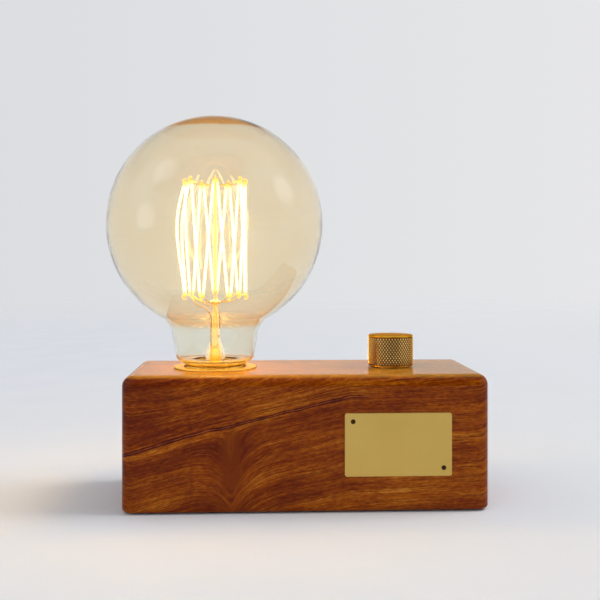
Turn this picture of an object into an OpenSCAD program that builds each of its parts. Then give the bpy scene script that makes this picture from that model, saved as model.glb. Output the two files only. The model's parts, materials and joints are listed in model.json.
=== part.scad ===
// Bare bulb table lamp: a solid wood block that carries a large clear globe bulb in a
// brass-ringed screw lampholder, with a rotary dimmer under a brass knob.
// +X is to the right, +Z is up, the front face looks towards -Y.
// The origin is on the table, under the centre of the block.

/* [Wood block] */
// Width of the block, left to right
block_w = 152; // [134:1:220]
// Depth of the block, front to back
block_d = 64; // [60:1:100]
// Height of the block
block_h = 55.9; // [54:0.1:90]
// Radius of the upright corners
corner_round = 5; // [3:0.5:8]
// Radius along the top edges
top_round = 4.5; // [1:0.5:4.5]
// Radius along the bottom edges
bottom_round = 1.5; // [0.5:0.5:3]
// Gap between the wood and the table
foot_gap = 0.7; // [0.4:0.1:1.2]
// Wood left over the dimmer pocket
deck_t = 8; // [6:0.5:9]
// Wood left at each end of the wiring pocket
end_wall = 16; // [13:1:20]
// Height kept free over the leads in the wiring pocket
lead_headroom = 1; // [0.5:0.5:3]
// Corner radius of the pockets
pocket_round = 2; // [1.5:0.5:4]

/* [Underside] */
// Thickness of the base plate
plate_t = 3; // [2:0.5:5]
// Wood left around the base plate
plate_lip = 5; // [4:0.5:6]
// Thickness of the non-slip pad
pad_t = 1.6; // [1.2:0.1:3]
// Step from the base plate's edge to the pad's edge
pad_step = 1; // [0.5:0.5:3]
// Thread diameter of the base screws
base_screw_d = 3; // [2.5:0.5:4]
// Length of the base screws
base_screw_len = 16; // [12:1:20]
// Distance of the base screws from the plate's edges
base_screw_inset = 5.5; // [5:0.5:7]

/* [Lampholder] */
// Place of the lampholder, left of the block's centre
holder_x = 39; // [36:0.5:44]
// Width of the trim ring's flange outside its skirt
ring_lip = 1.75; // [1:0.05:4]
// Thickness of the trim ring's flange
ring_t = 0.7; // [0.5:0.1:1.5]
// Length of the trim ring's skirt inside the wood
ring_skirt = 7; // [5:0.5:8]
// Depth of the clamping shoulder under the wood's top
shoulder_depth = 9; // [8.5:0.5:12]
// Height of the lampholder's base, from its foot to its floor
holder_base_h = 11; // [10.5:0.5:14]
// Width of the shoulder by which the lampholder's lower body is wider than the ring's hole
holder_shoulder = 1.5; // [1:0.1:3]
// Length of the threaded shell
shell_len = 15.4; // [12:0.2:17]

/* [Screw thread] */
// Outer diameter of the bulb's thread
thread_d = 26.4; // [24:0.1:34]
// Depth of the thread
thread_depth = 1.1; // [0.9:0.1:1.1]
// Rise of the thread in one turn
thread_pitch = 3.629; // [3.4:0.001:3.8]
// Radial gap between the two threads
thread_gap = 0.45; // [0.4:0.05:0.5]

/* [Bulb] */
// Diameter of the glass globe
globe_d = 95; // [80:1:125]
// Gap between the wood and the globe's lowest point, were it a whole ball
globe_clear = 15.9; // [12:0.1:22]
// Wall of the glass
glass_t = 0.8; // [0.6:0.1:1.2]
// Width by which the neck stands out over the cap's rim
neck_lip = 3.3; // [2.6:0.1:5]
// Lean of the neck's side, outwards going up
neck_lean = 10.6; // [6:0.1:14]
// Radius of the hollow between neck and globe
neck_fillet = 9; // [5:0.5:12]
// Radius of the neck's lower edge
neck_edge = 2.6; // [1.5:0.1:3]
// Height of the cap's rim over the wood
cap_rise = 3; // [2:0.1:5]
// Length of the threaded cap
cap_len = 19.6; // [19:0.1:20.5]

/* [Filament cage] */
// Radius of the circle on which the hooks stand
cage_r = 13.6; // [10:0.1:16]
// Height of the lower hooks over the wood
cage_low = 31.4; // [30:0.1:36]
// Length of the cage between lower and upper hooks
cage_len = 51; // [40:0.5:56]
// Number of upper hooks
hooks = 7; // [5:1:9]
// Outward bow of the slack strands on the left
strand_bow = 3.8; // [0:0.1:6]
// Radius of the filament
filament_r = 0.3; // [0.2:0.05:0.35]

/* [Knob and dimmer] */
// Place of the knob, right of the block's centre
knob_x = 39; // [36:0.5:46]
// Diameter of the knob
knob_d = 19.9; // [19:0.1:26]
// Height of the knob
knob_h = 13.8; // [13.4:0.1:18]
// Gap between the knob and the wood
knob_gap = 0.45; // [0.4:0.05:1.6]
// Chamfer around the knob's top
knob_chamfer = 0.8; // [0.4:0.1:1.2]
// Diameter of the dimmer's shaft
shaft_d = 6; // [4:0.1:7.2]
// Wall of the dimmer's bush
bush_wall = 1.6; // [1.2:0.1:2]
// Diameter of the dimmer's case
case_d = 26; // [24:0.5:28]
// Height of the dimmer's case
case_h = 11; // [10:0.5:12]
// Width of the circuit board
board_w = 40; // [38:1:50]
// Depth of the circuit board
board_d = 36; // [34:1:44]
// Gap between the board's ends and the dimmer pocket
board_gap_x = 2; // [1:0.5:4]
// Gap between the board's long sides and the pockets
board_gap_y = 3; // [1:0.5:4]

/* [Nameplate] */
// Width of the bare plate on the front
nameplate_w = 44.3; // [30:0.1:60]
// Height of the plate
nameplate_h = 26; // [18:0.5:34]
// Thickness of the plate
nameplate_t = 0.8; // [0.5:0.1:1.5]
// Distance of the plate's centre right of the block's centre
nameplate_x = 37.7; // [30:0.1:40]
// Height of the plate's centre over the table
nameplate_z = 28.1; // [22:0.1:32]
// Distance of the two pins from the plate's edges
pin_inset = 3.4; // [2.5:0.1:5]
// Diameter of the pin heads
pin_head_d = 2; // [1.6:0.1:3]

/* [Cord inlet] */
// Bore of the inlet bush
inlet_bore = 7; // [5:0.5:8]
// Height of the inlet over the table
inlet_z = 18.5; // [13:0.5:20]

/* [Hidden] */
$fn = 64;

// Clearances between pieces
snug = 0.05;
slip = 0.1;
loose = 0.3;
cut = 1;

// Levels of the block
top_z = foot_gap + block_h;
plate_z = pad_t;
floor_z = plate_z + plate_t;
deck_z = top_z - deck_t;
top_r = min(top_round, corner_round - 0.5);
bottom_r = min(bottom_round, top_r - 0.5);
plate_w = block_w - 2 * plate_lip;
plate_d = block_d - 2 * plate_lip;
pad_round = max(pocket_round - pad_step, 0.5);
pocket_w = block_w - 2 * end_wall;
pocket_d = board_d + 2 * board_gap_y;
dimmer_pocket_w = board_w + 2 * board_gap_x;

// Base screws
screw_x = plate_w / 2 - base_screw_inset;
screw_y = plate_d / 2 - base_screw_inset;
base_screw_r = base_screw_d / 2;
base_head_r = base_screw_d;
base_head_h = base_screw_r;

// Bulb thread: the male radius swings by half the depth about its mean
thread_swing = thread_depth / 2;
thread_mean = thread_d / 2 - thread_swing;
thread_sides = 36;
thread_steps = 8;
shell_mean = thread_mean + thread_gap;
shell_t = 0.4;

// Lampholder radii, from the thread outwards
holder_bore_r = shell_mean + shell_t + thread_swing + 0.2;
spigot_r = holder_bore_r + 1.35;
skirt_in_r = spigot_r + slip;
skirt_r = skirt_in_r + 0.8;
ring_hole_r = thread_d / 2 + 0.5;
ring_r = skirt_r + ring_lip;
wood_ring_r = skirt_r + 0.2;
holder_r = wood_ring_r + holder_shoulder;
wood_holder_r = holder_r + loose;

// Lampholder and bulb levels
shoulder_z = top_z - shoulder_depth;
rim_z = top_z + cap_rise;
cap_low_z = rim_z - cap_len;
insulator_low_z = cap_low_z - 3.8;
contact_low_z = insulator_low_z - 2;
shell_top_z = top_z - 3;
shell_low_z = shell_top_z - shell_len;
ledge_r = shell_mean + 0.25;
tongue_top_z = contact_low_z - loose;
tongue_t = 0.5;
holder_floor_z = tongue_top_z - 2.8;
holder_low_z = holder_floor_z - holder_base_h;
terminal_h = 6;
terminal_top_z = holder_low_z + 6.5;
terminal_y = 8;
terminal_slot = 7.2;
rivet_r = 1.2;
strip_w = 4;

// Bulb glass, drawn as radius and height
globe_r = globe_d / 2;
globe_z = top_z + globe_clear + globe_r;
glass_low_z = rim_z + snug;
cap_wall = 0.6;
cement_t = 0.9;
cap_rim_r = thread_mean + 1.25;
cap_bore_r = thread_d / 2 - thread_depth - cap_wall;
seal_r = cap_bore_r - cement_t;
neck_r = cap_rim_r + neck_lip;
seal_low_z = rim_z - 9.6;
neck_foot = [neck_r, glass_low_z + 2.35];
neck_dir = [sin(neck_lean), cos(neck_lean)];
neck_out = [cos(neck_lean), -sin(neck_lean)];
globe_c = [0, globe_z];
fillet_from = neck_foot + neck_fillet * neck_out - globe_c;
fillet_run = -(fillet_from * neck_dir) - sqrt(
    pow(fillet_from * neck_dir, 2) - fillet_from * fillet_from + pow(globe_r + neck_fillet, 2));
fillet_c = globe_c + fillet_from + fillet_run * neck_dir;
fillet_angle = atan2(fillet_c[1] - globe_z, fillet_c[0]);
edge_up = neck_edge + glass_low_z - neck_foot[1];
edge_c = [neck_r + edge_up * tan(neck_lean) - neck_edge / cos(neck_lean), glass_low_z + neck_edge];

// Filament cage
cage_low_z = top_z + cage_low;
cage_top_z = cage_low_z + cage_len;
hook_step = 360 / hooks;
hook_start = 170;
lead_turn = 20.7;
turn_r = 0.75;
hook_wire_r = 0.2;
bow_side = 192;
stem_tube_r = 1.3;
button_z = cage_low_z - 2.6;
button_r = 2.6;
lead_r = 0.25;
lead_x = 3;

// Knob and dimmer levels
knob_r = knob_d / 2;
knob_low_z = top_z + knob_gap;
knob_top_z = knob_low_z + knob_h;
shaft_r = shaft_d / 2;
bush_r = shaft_r + bush_wall;
washer_t = 0.8;
nut_t = 2.4;
nut_r = bush_r + 2.3;
washer_r = nut_r + loose;
bush_top_z = top_z + washer_t + nut_t + 0.4;
clip_z = bush_top_z + loose;
clip_t = 0.5;
recess_top_z = clip_z + clip_t + 0.2;
recess_r = washer_r + 0.8;
set_screw_z = (recess_top_z + knob_top_z) / 2;
set_screw_r = 1.5;
case_r = case_d / 2;
case_low_z = deck_z - case_h;
case_wall = 0.8;
case_top_t = 1;
track_t = 1.5;
track_top_z = case_low_z + track_t;
wiper_z = track_top_z + 1.1;
wiper_t = 1.4;
wiper_r = case_r - case_wall - 2.7;
flat_depth = 0.5;

// Circuit board and what hangs under it
board_t = 1.6;
board_z = case_low_z - 6.6;
pillar_r = 2.2;
pillar_x = board_w / 2 - 3;
pillar_y = board_d / 2 - 3;
lug_pitch = 5;
lug_y = 4 - case_r;
block_x = knob_x - board_w / 2 + 1;
block_len = 20;
block_wide = 9;
block_high = 9.6;
wire_r = 1.1;
lead_entry_z = board_z - 5;
wiring_top_z = lead_entry_z + wire_r + lead_headroom;
choke_at = [knob_x + board_w / 2 - 7, 6];
choke_r = 5.5;
choke_h = 5;
winding_t = 0.9;
capacitor_at = [knob_x - 6, 1 - board_d / 2];
capacitor_size = [13, 6, 11];
triac_at = [knob_x - 6, board_d / 2 - 9];
triac_w = 10;
triac_t = 4.4;
triac_h = 9;
tab_t = 1.3;
sink_t = 1.6;

// Cord inlet
inlet_wall_y = pocket_d / 2;
inlet_back_y = block_d / 2;
inlet_r = inlet_bore / 2 + 1.3;
inlet_flange_r = inlet_bore / 2 + 3;
inlet_flange_t = 2;
inlet_nut_t = 3;
inlet_nut_r = inlet_r + 2.6;

// --- Shared shapes and functions ---

function arc(c, r, from, to, steps) = [
    for (i = [0 : steps]) let (a = from + (to - from) * i / steps) c + r * [cos(a), sin(a)]
];

function reversed(list) = [for (i = [len(list) - 1 : -1 : 0]) list[i]];

function unit(v) = v / norm(v);

function along(p, i) = unit(p[min(i + 1, len(p) - 1)] - p[max(i - 1, 0)]);

function square_to(n, t) = unit(n - (n * t) * t);

// One normal for each point, carried along the path so that the tube doesn't twist
function normals(p, first) = [
    for (i = 0, n = square_to(first, along(p, 0)); i < len(p);
         i = i + 1, n = square_to(n, along(p, min(i, len(p) - 1)))) n
];

function ring_point(c, t, n, r, a) = c + r * (cos(a) * n + sin(a) * cross(t, n));

// Two triangles between ring i and ring i + 1 of a skin, as seen from outside
function quad(a, b, c, d) = [[a, b, c], [a, c, d]];

// A round wire that follows the points of a path
module wire(path, r, sides = 6, first = [0.1, 0.2, 1]) {
    n = normals(path, first);
    last = len(path) - 1;
    points = [
        for (i = [0 : last]) for (j = [0 : sides - 1])
            ring_point(path[i], along(path, i), n[i], r, 360 * j / sides)
    ];
    sides_faces = [
        for (i = [0 : last - 1]) for (j = [0 : sides - 1])
            let (k = (j + 1) % sides)
                each quad(i * sides + j, (i + 1) * sides + j, (i + 1) * sides + k, i * sides + k)
    ];
    start_face = [for (j = [0 : sides - 1]) j];
    end_face = [for (j = [sides - 1 : -1 : 0]) last * sides + j];
    polyhedron(points, concat(sides_faces, [start_face, end_face]));
}

// A tube wall between two stacks of rings; each stack runs upwards
module wall_skin(outer, inner, sides) {
    no = len(outer);
    ni = len(inner);
    base = no * sides;
    points = [for (ring = concat(outer, inner)) each ring];
    outer_faces = [
        for (i = [0 : no - 2]) for (j = [0 : sides - 1])
            let (k = (j + 1) % sides)
                each quad(i * sides + j, (i + 1) * sides + j, (i + 1) * sides + k, i * sides + k)
    ];
    inner_faces = [
        for (i = [0 : ni - 2]) for (j = [0 : sides - 1])
            let (k = (j + 1) % sides, a = base + i * sides, b = a + sides)
                each quad(a + k, b + k, b + j, a + j)
    ];
    end_faces = [
        for (j = [0 : sides - 1])
            let (k = (j + 1) % sides, a = (no - 1) * sides, b = base + (ni - 1) * sides)
                each concat(quad(j, k, base + k, base + j), quad(b + j, b + k, a + k, a + j))
    ];
    polyhedron(points, concat(outer_faces, inner_faces, end_faces));
}

function thread_ring(r, swing, z, sides) = [
    for (j = [0 : sides - 1])
        let (a = 360 * j / sides, s = r + swing * cos(360 * z / thread_pitch - a))
            [s * cos(a), s * sin(a), z]
];

module rounded_rect(w, d, r) {
    square([w - 2 * r, d], center = true);
    for (sx = [-1, 1]) {
        translate([sx * (w - r) / 2, 0])
            square([r, d - 2 * r], center = true);
        for (sy = [-1, 1])
            translate([sx * (w / 2 - r), sy * (d / 2 - r)])
                intersection() {
                    circle(r);
                    translate([sx > 0 ? 0 : -r, sy > 0 ? 0 : -r])
                        square(r);
                }
    }
}

module rounded_slab(w, d, r, z_low, z_high) {
    translate([0, 0, z_low])
        linear_extrude(z_high - z_low)
            rounded_rect(w, d, r);
}

module tube(r_out, r_in, z_low, z_high) {
    translate([0, 0, z_low])
        difference() {
            cylinder(r = r_out, h = z_high - z_low);
            translate([0, 0, -cut])
                cylinder(r = r_in, h = z_high - z_low + 2 * cut);
        }
}

module rod(r, z_low, z_high) {
    translate([0, 0, z_low])
        cylinder(r = r, h = z_high - z_low);
}

module box(low, high) {
    translate(low)
        cube(high - low);
}

module at_corners(x, y) {
    for (sx = [-1, 1])
        for (sy = [-1, 1])
            translate([sx * x, sy * y, 0])
                children();
}

module hex_nut(r, bore_r, t) {
    difference() {
        cylinder(r = r, h = t, $fn = 6);
        translate([0, 0, -cut])
            cylinder(r = bore_r, h = t + 2 * cut);
    }
}

// --- Block and underside ---

// Section of the outermost wood, from its inner edge at 0 to the face at corner_round
module edge_section() {
    flat_high = block_h - top_r;
    square([corner_round - top_r, block_h]);
    translate([corner_round - top_r, bottom_r])
        square([top_r, flat_high - bottom_r]);
    translate([corner_round - top_r, 0])
        square([top_r - bottom_r, bottom_r]);
    translate([corner_round - top_r, flat_high])
        intersection() {
            circle(top_r);
            square(top_r);
        }
    translate([corner_round - bottom_r, bottom_r])
        intersection() {
            circle(bottom_r);
            translate([0, -bottom_r])
                square(bottom_r);
        }
}

module edge_run(len) {
    rotate([90, 0, 90])
        translate([0, 0, -len / 2])
            linear_extrude(len)
                edge_section();
}

module rounded_block() {
    core_w = block_w - 2 * corner_round;
    core_d = block_d - 2 * corner_round;
    translate([-core_w / 2, -core_d / 2, 0])
        cube([core_w, core_d, block_h]);
    for (turn = [0, 180])
        rotate(turn) {
            translate([0, core_d / 2, 0])
                edge_run(core_w);
            translate([core_w / 2, 0, 0])
                rotate(-90)
                    edge_run(core_d);
            translate([core_w / 2, core_d / 2, 0])
                rotate_extrude(angle = 90)
                    edge_section();
            translate([-core_w / 2, core_d / 2, 0])
                rotate(90)
                    rotate_extrude(angle = 90)
                        edge_section();
        }
}

module wood_block() {
    color("sienna")
        difference() {
            translate([0, 0, foot_gap])
                rounded_block();
            rounded_slab(plate_w + 2 * loose, plate_d + 2 * loose, pocket_round, -cut, floor_z);
            rounded_slab(pocket_w, pocket_d, pocket_round, floor_z - cut, wiring_top_z);
            translate([knob_x, 0, 0])
                rounded_slab(dimmer_pocket_w, pocket_d, pocket_round, floor_z - cut, deck_z);
            translate([-holder_x, 0, 0]) {
                rod(wood_holder_r, floor_z + cut, shoulder_z);
                rod(wood_ring_r, shoulder_z - cut, top_z + cut);
            }
            translate([knob_x, 0, 0]) {
                rod(bush_r + loose, deck_z - cut, top_z + cut);
                at_corners(pillar_x, pillar_y)
                    rod(1.25, deck_z - cut, deck_z + 5.3);
            }
            at_corners(screw_x, screw_y)
                rod(base_screw_r + snug, floor_z - cut, plate_z + base_screw_len + loose);
            translate([0, 0, inlet_z])
                rotate([-90, 0, 0])
                    cylinder(r = inlet_r + slip, h = inlet_back_y + cut);
            at_nameplate_pins()
                translate([0, 0, -7])
                    cylinder(r = 0.65, h = 7 + cut);
        }
}

module base_plate() {
    color("#3b2a1c")
        difference() {
            rounded_slab(plate_w, plate_d, pocket_round - loose, plate_z, floor_z);
            at_corners(screw_x, screw_y) {
                rod(base_screw_r + loose, plate_z - cut, floor_z + cut);
                translate([0, 0, plate_z])
                    cylinder(r1 = base_head_r + slip, r2 = base_screw_r + slip, h = base_head_h);
            }
        }
}

module base_screws() {
    color("silver")
        at_corners(screw_x, screw_y)
            difference() {
                translate([0, 0, plate_z])
                    rotate_extrude()
                        polygon([
                            [0, 0], [base_head_r, 0], [base_screw_r, base_head_h],
                            [base_screw_r, base_screw_len - 3], [0, base_screw_len],
                        ]);
                for (turn = [0, 90])
                    rotate(turn)
                        translate([0, 0, plate_z])
                            cube([base_head_r * 1.1, 0.7, 2], center = true);
            }
}

module foot_pad() {
    color("#1c1c1c")
        difference() {
            rounded_slab(plate_w - 2 * pad_step, plate_d - 2 * pad_step, pad_round, 0, pad_t);
            at_corners(screw_x, screw_y)
                rod(base_head_r + 0.6, -cut, pad_t + cut);
        }
}

// --- Lampholder ---

module at_holder() {
    translate([-holder_x, 0, 0])
        children();
}

module trim_ring() {
    color("gold")
        at_holder()
            rotate_extrude()
                polygon([
                    [ring_hole_r, top_z], [skirt_in_r, top_z], [skirt_in_r, top_z - ring_skirt],
                    [skirt_r, top_z - ring_skirt], [skirt_r, top_z], [ring_r, top_z],
                    [ring_r, top_z + ring_t / 2], [ring_r - ring_t / 2, top_z + ring_t],
                    [ring_hole_r, top_z + ring_t],
                ]);
}

module holder_body() {
    color("ivory")
        at_holder()
            difference() {
                union() {
                    rod(holder_r, holder_low_z, shoulder_z);
                    rod(spigot_r, shoulder_z - cut, top_z - slip);
                }
                rod(ledge_r, holder_floor_z, top_z + cut);
                rod(holder_bore_r, shell_low_z - snug, top_z + cut);
                for (side = [-1, 1])
                    translate([0, side * terminal_y, 0]) {
                        box([-terminal_slot / 2, -terminal_slot / 2, holder_low_z - cut],
                            [holder_r + cut, terminal_slot / 2, terminal_top_z]);
                        rod(rivet_r + snug, terminal_top_z - cut, holder_floor_z + cut);
                    }
            }
}

module holder_shell() {
    rings = ceil(shell_len / thread_pitch * thread_steps);
    levels = [for (i = [0 : rings]) shell_low_z + shell_len * i / rings];
    color("goldenrod")
        at_holder()
            wall_skin(
                [for (z = levels) thread_ring(shell_mean + shell_t, thread_swing, z, thread_sides)],
                [for (z = levels) thread_ring(shell_mean, thread_swing, z, thread_sides)],
                thread_sides);
}

// Sprung tongue from its rivet to the middle of the socket
module holder_contact() {
    rise = tongue_top_z - holder_floor_z;
    color("goldenrod")
        at_holder()
            translate([-strip_w / 2, 0, holder_floor_z])
                rotate([90, 0, 90])
                    linear_extrude(strip_w)
                        polygon([
                            [-terminal_y - 2.4, 0], [-terminal_y + 1.8, 0], [-1.8, rise - tongue_t],
                            [1.8, rise - tongue_t], [1.8, rise], [-2.1, rise],
                            [-terminal_y + 1.6, tongue_t], [-terminal_y - 2.4, tongue_t],
                        ]);
}

// Strip from its rivet to the foot of the threaded shell
module holder_side_strip() {
    leg_out = shell_mean;
    leg_top = shell_low_z - holder_floor_z - snug;
    color("goldenrod")
        at_holder()
            translate([-strip_w / 2, 0, holder_floor_z])
                rotate([90, 0, 90])
                    linear_extrude(strip_w)
                        polygon([
                            [terminal_y - 2, 0], [leg_out, 0], [leg_out, leg_top],
                            [leg_out - tongue_t, leg_top], [leg_out - tongue_t, tongue_t],
                            [terminal_y - 2, tongue_t],
                        ]);
}

module holder_rivets() {
    color("silver")
        at_holder()
            for (side = [-1, 1])
                translate([0, side * terminal_y, 0])
                    rod(rivet_r, terminal_top_z + snug, holder_floor_z - snug);
}

module holder_terminals() {
    color("goldenrod")
        at_holder()
            for (side = [-1, 1])
                translate([0, side * terminal_y, terminal_top_z - terminal_h])
                    difference() {
                        translate([-3, -3, 0])
                            cube([6, 6, terminal_h]);
                        translate([0, 0, terminal_h / 2 + 0.6])
                            rotate([0, 90, 0])
                                translate([0, 0, -1])
                                    cylinder(r = wire_r + slip, h = 3 + cut + 1);
                        translate([0, 0, -cut])
                            cylinder(r = 1.4 + snug, h = terminal_h / 2 + cut);
                    }
}

module holder_terminal_screws() {
    color("silver")
        at_holder()
            for (side = [-1, 1])
                translate([0, side * terminal_y, terminal_top_z - terminal_h])
                    difference() {
                        union() {
                            translate([0, 0, -1.6])
                                cylinder(r = 2.6, h = 1.5);
                            translate([0, 0, -1])
                                cylinder(r = 1.4, h = 3);
                        }
                        translate([0, 0, -1.6])
                            cube([3.6, 0.6, 1.2], center = true);
                    }
}

// --- Bulb ---

function glass_curve(inset) = concat(
    arc(globe_c, globe_r - inset, 90, fillet_angle, 40),
    arc(fillet_c, neck_fillet + inset, fillet_angle + 180, 180 - neck_lean, 8),
    arc(edge_c, neck_edge - inset, -neck_lean, -90, 6)
);

module bulb_glass() {
    color("#f4c98a", 0.4)
        at_holder()
            rotate_extrude()
                polygon(concat(
                    glass_curve(0),
                    [[seal_r, glass_low_z], [seal_r, seal_low_z],
                     [seal_r - glass_t, seal_low_z], [seal_r - glass_t, glass_low_z + glass_t]],
                    reversed(glass_curve(glass_t))
                ));
}

// Radius of the cap's middle surface and share of the thread's depth, by height
function cap_radius(z) = lookup(z - cap_low_z, [
    [0, thread_mean - 1], [1.6, thread_mean], [cap_len - 1.9, thread_mean],
    [cap_len - 0.9, cap_rim_r - 0.05], [cap_len, cap_rim_r],
]);
function cap_swing(z) = thread_swing * lookup(z - cap_low_z, [
    [0, 0], [2, 1], [cap_len - 2.9, 1], [cap_len - 1.9, 0], [cap_len, 0],
]);

module bulb_cap() {
    rings = ceil(cap_len / thread_pitch * thread_steps);
    levels = [for (i = [0 : rings]) cap_low_z + cap_len * i / rings];
    color("goldenrod")
        at_holder()
            wall_skin(
                [for (z = levels) thread_ring(cap_radius(z), cap_swing(z), z, thread_sides)],
                [for (z = [cap_low_z, rim_z]) thread_ring(cap_bore_r, 0, z, thread_sides)],
                thread_sides);
}

module cap_insulator() {
    plug_r = cap_bore_r * cos(180 / thread_sides) - snug;
    color("#202020")
        at_holder()
            rotate_extrude()
                polygon([
                    [0, insulator_low_z], [6.5, insulator_low_z], [thread_mean - 1.1, cap_low_z - 0.6],
                    [thread_mean - 1.1, cap_low_z - snug], [plug_r, cap_low_z - snug],
                    [plug_r, cap_low_z + 2], [0, cap_low_z + 2],
                ]);
}

module cap_contact() {
    color("silver")
        at_holder()
            rotate_extrude()
                polygon([
                    [0, contact_low_z], [2.4, contact_low_z], [4.4, contact_low_z + 1],
                    [4.8, insulator_low_z], [0, insulator_low_z],
                ]);
}

module basing_cement() {
    color("#d8cdb8")
        at_holder()
            tube(cap_bore_r * cos(180 / thread_sides) - snug, seal_r + snug, seal_low_z, rim_z - 1);
}

// Flare, tube, button, rod and top button of the glass mount
module glass_stem() {
    flare_r = seal_r - glass_t - snug;
    bell_top_z = rim_z + 7.4;
    color("#f5e6c8", 0.6)
        at_holder()
            difference() {
                rotate_extrude()
                    polygon([
                        [flare_r, seal_low_z], [flare_r, seal_low_z + 0.9], [6.4, seal_low_z + 3],
                        [5, rim_z - 3], [4.5, rim_z + 1], [4.3, rim_z + 3.4], [3.9, rim_z + 5.2],
                        [2.4, bell_top_z + 1.6], [2.3, bell_top_z + 3], [1.9, bell_top_z + 7],
                        [stem_tube_r, button_z - 4], [stem_tube_r, button_z - 1.2],
                        [button_r - 0.5, button_z - 0.6], [button_r, button_z],
                        [button_r - 0.5, button_z + 0.8], [1, button_z + 1.4],
                        [0.9, cage_top_z - 3.6], [1.6, cage_top_z - 3], [1.9, cage_top_z - 2],
                        [1.5, cage_top_z - 1], [0, cage_top_z - 0.6],
                        [0, bell_top_z - 0.4], [3, rim_z + 5], [3.5, rim_z + 1], [4.1, rim_z - 3],
                        [5.5, seal_low_z + 2.6], [flare_r - 1.2, seal_low_z],
                    ]);
                for (side = [-1, 1])
                    translate([side * lead_x * sin(lead_mid), -side * lead_x * cos(lead_mid), rim_z + 3])
                        cylinder(r = lead_r + snug, h = 7);
            }
}

// --- Filament cage: hook i stands at this angle, upper hooks at whole steps ---

lead_mid = hook_start - hook_step / 2;

function hook_angle(i) = hook_start + i * hook_step;

function on_cage(a, z) = [cage_r * cos(a), cage_r * sin(a), z];

function around(a) = [-sin(a), cos(a), 0];

// Half turn of the filament over (up = 1) or under (up = -1) a hook
function half_turn(a, z, up) = [
    for (b = [180 : -45 : 0]) on_cage(a, z) + turn_r * (cos(b) * around(a) + up * sin(b) * [0, 0, 1])
];

function bow(a) = strand_bow * pow(max(0, cos(a - bow_side)), 8);

// Points between two turns, bowed outwards most at 0.6 of the way up
function strand(p, q, a) = [
    for (s = [0.2, 0.4, 0.6, 0.8])
        let (up = q[2] > p[2] ? s : 1 - s)
            p + s * (q - p) + bow(a) * sin(180 * pow(up, 1.35)) * [cos(a), sin(a), 0]
];

upper_z = cage_top_z - turn_r;
lower_z = cage_low_z + turn_r;
lead_a = hook_start - lead_turn;
lead_b = hook_angle(hooks - 1) + lead_turn;

function upper_turn(i) = half_turn(hook_angle(i), upper_z, 1);
function lower_turn(i) = half_turn(hook_angle(i + 0.5), lower_z, -1);
function low_start(i) = i == 0 ? [on_cage(lead_a, lower_z)] : [lower_turn(i - 1)[4]];
function low_end(i) = i == hooks - 1 ? [on_cage(lead_b, lower_z)] : lower_turn(i);
function rise_to(i) = concat(
    i == 0 ? low_start(0) : [],
    strand(low_start(i)[0], upper_turn(i)[0], hook_angle(i) - hook_step / 4)
);
function fall_from(i) = concat(
    strand(upper_turn(i)[4], low_end(i)[0], hook_angle(i) + hook_step / 4),
    low_end(i)
);

module filament() {
    path = [for (i = [0 : hooks - 1]) each concat(rise_to(i), upper_turn(i), fall_from(i))];
    color("yellow")
        at_holder()
            wire(path, filament_r, first = [1, 0.3, 0]);
}

// A support wire in the upright plane at angle a: [radius, height] points
function upright(a, list) = [for (p = list) [p[0] * cos(a), p[0] * sin(a), p[1]]];

module upper_hooks() {
    color("gray")
        at_holder()
            for (i = [0 : hooks - 1])
                wire(upright(hook_angle(i), [
                    [1.95, cage_top_z - 2], [6, cage_top_z - 1.6], [cage_r - 2, upper_z],
                    [cage_r + 0.6, upper_z], [cage_r + 1.1, upper_z + 0.5], [cage_r + 0.9, upper_z + 1.2],
                ]), hook_wire_r);
}

module lower_hooks() {
    color("gray")
        at_holder()
            for (i = [0 : hooks - 2])
                wire(upright(hook_angle(i + 0.5), [
                    [button_r + snug, button_z], [7, button_z + 0.5], [cage_r - 2, lower_z - 0.2],
                    [cage_r + 0.6, lower_z], [cage_r + 1.1, lower_z - 0.5], [cage_r + 0.9, lower_z - 1.2],
                ]), hook_wire_r);
}

// One lead rises inside the flare, comes out at its shoulder and ends under the filament
function lead_path(side, a) = concat(
    [for (z = [seal_low_z - 3, rim_z - 2, rim_z + 6, rim_z + 14, button_z - 6])
        [side * lead_x * sin(lead_mid), -side * lead_x * cos(lead_mid), z]],
    [[4.6 * cos(lead_mid - side * 52), 4.6 * sin(lead_mid - side * 52), button_z - 2.6],
     [8.5 * cos(a - side * 16), 8.5 * sin(a - side * 16), button_z - 1.2]],
    [[cage_r * cos(a) - 1.2 * cos(a), cage_r * sin(a) - 1.2 * sin(a), lower_z - 1.7],
     on_cage(a, lower_z - 0.8), on_cage(a, lower_z - snug)]
);

module lead_in_wires() {
    color("gray")
        at_holder() {
            wire(lead_path(1, lead_b), lead_r, first = [1, 0, 0]);
            wire(lead_path(-1, lead_a), lead_r, first = [1, 0, 0]);
        }
}

// --- Knob and dimmer ---

module at_knob() {
    translate([knob_x, 0, 0])
        children();
}

module knob() {
    bore_top_z = knob_top_z - 2;
    color("goldenrod")
        at_knob()
            difference() {
                rotate_extrude()
                    polygon([
                        [recess_r, knob_low_z], [knob_r - 0.4, knob_low_z], [knob_r, knob_low_z + 0.4],
                        [knob_r, knob_top_z - knob_chamfer], [knob_r - knob_chamfer, knob_top_z],
                        [0, knob_top_z], [0, bore_top_z], [shaft_r + 0.03, bore_top_z],
                        [shaft_r + 0.03, recess_top_z], [recess_r, recess_top_z],
                    ]);
                translate([0, 0, set_screw_z])
                    rotate([-90, 0, 0])
                        cylinder(r = set_screw_r + snug, h = knob_r + cut);
            }
}

module knob_set_screw() {
    tip_y = shaft_r - flat_depth + snug;
    color("#303030")
        at_knob()
            translate([0, tip_y, set_screw_z])
                rotate([-90, 0, 0])
                    difference() {
                        cylinder(r = set_screw_r, h = 5);
                        translate([0, 0, 3.2])
                            cylinder(r = 0.85, h = 3, $fn = 6);
                    }
}

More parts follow.
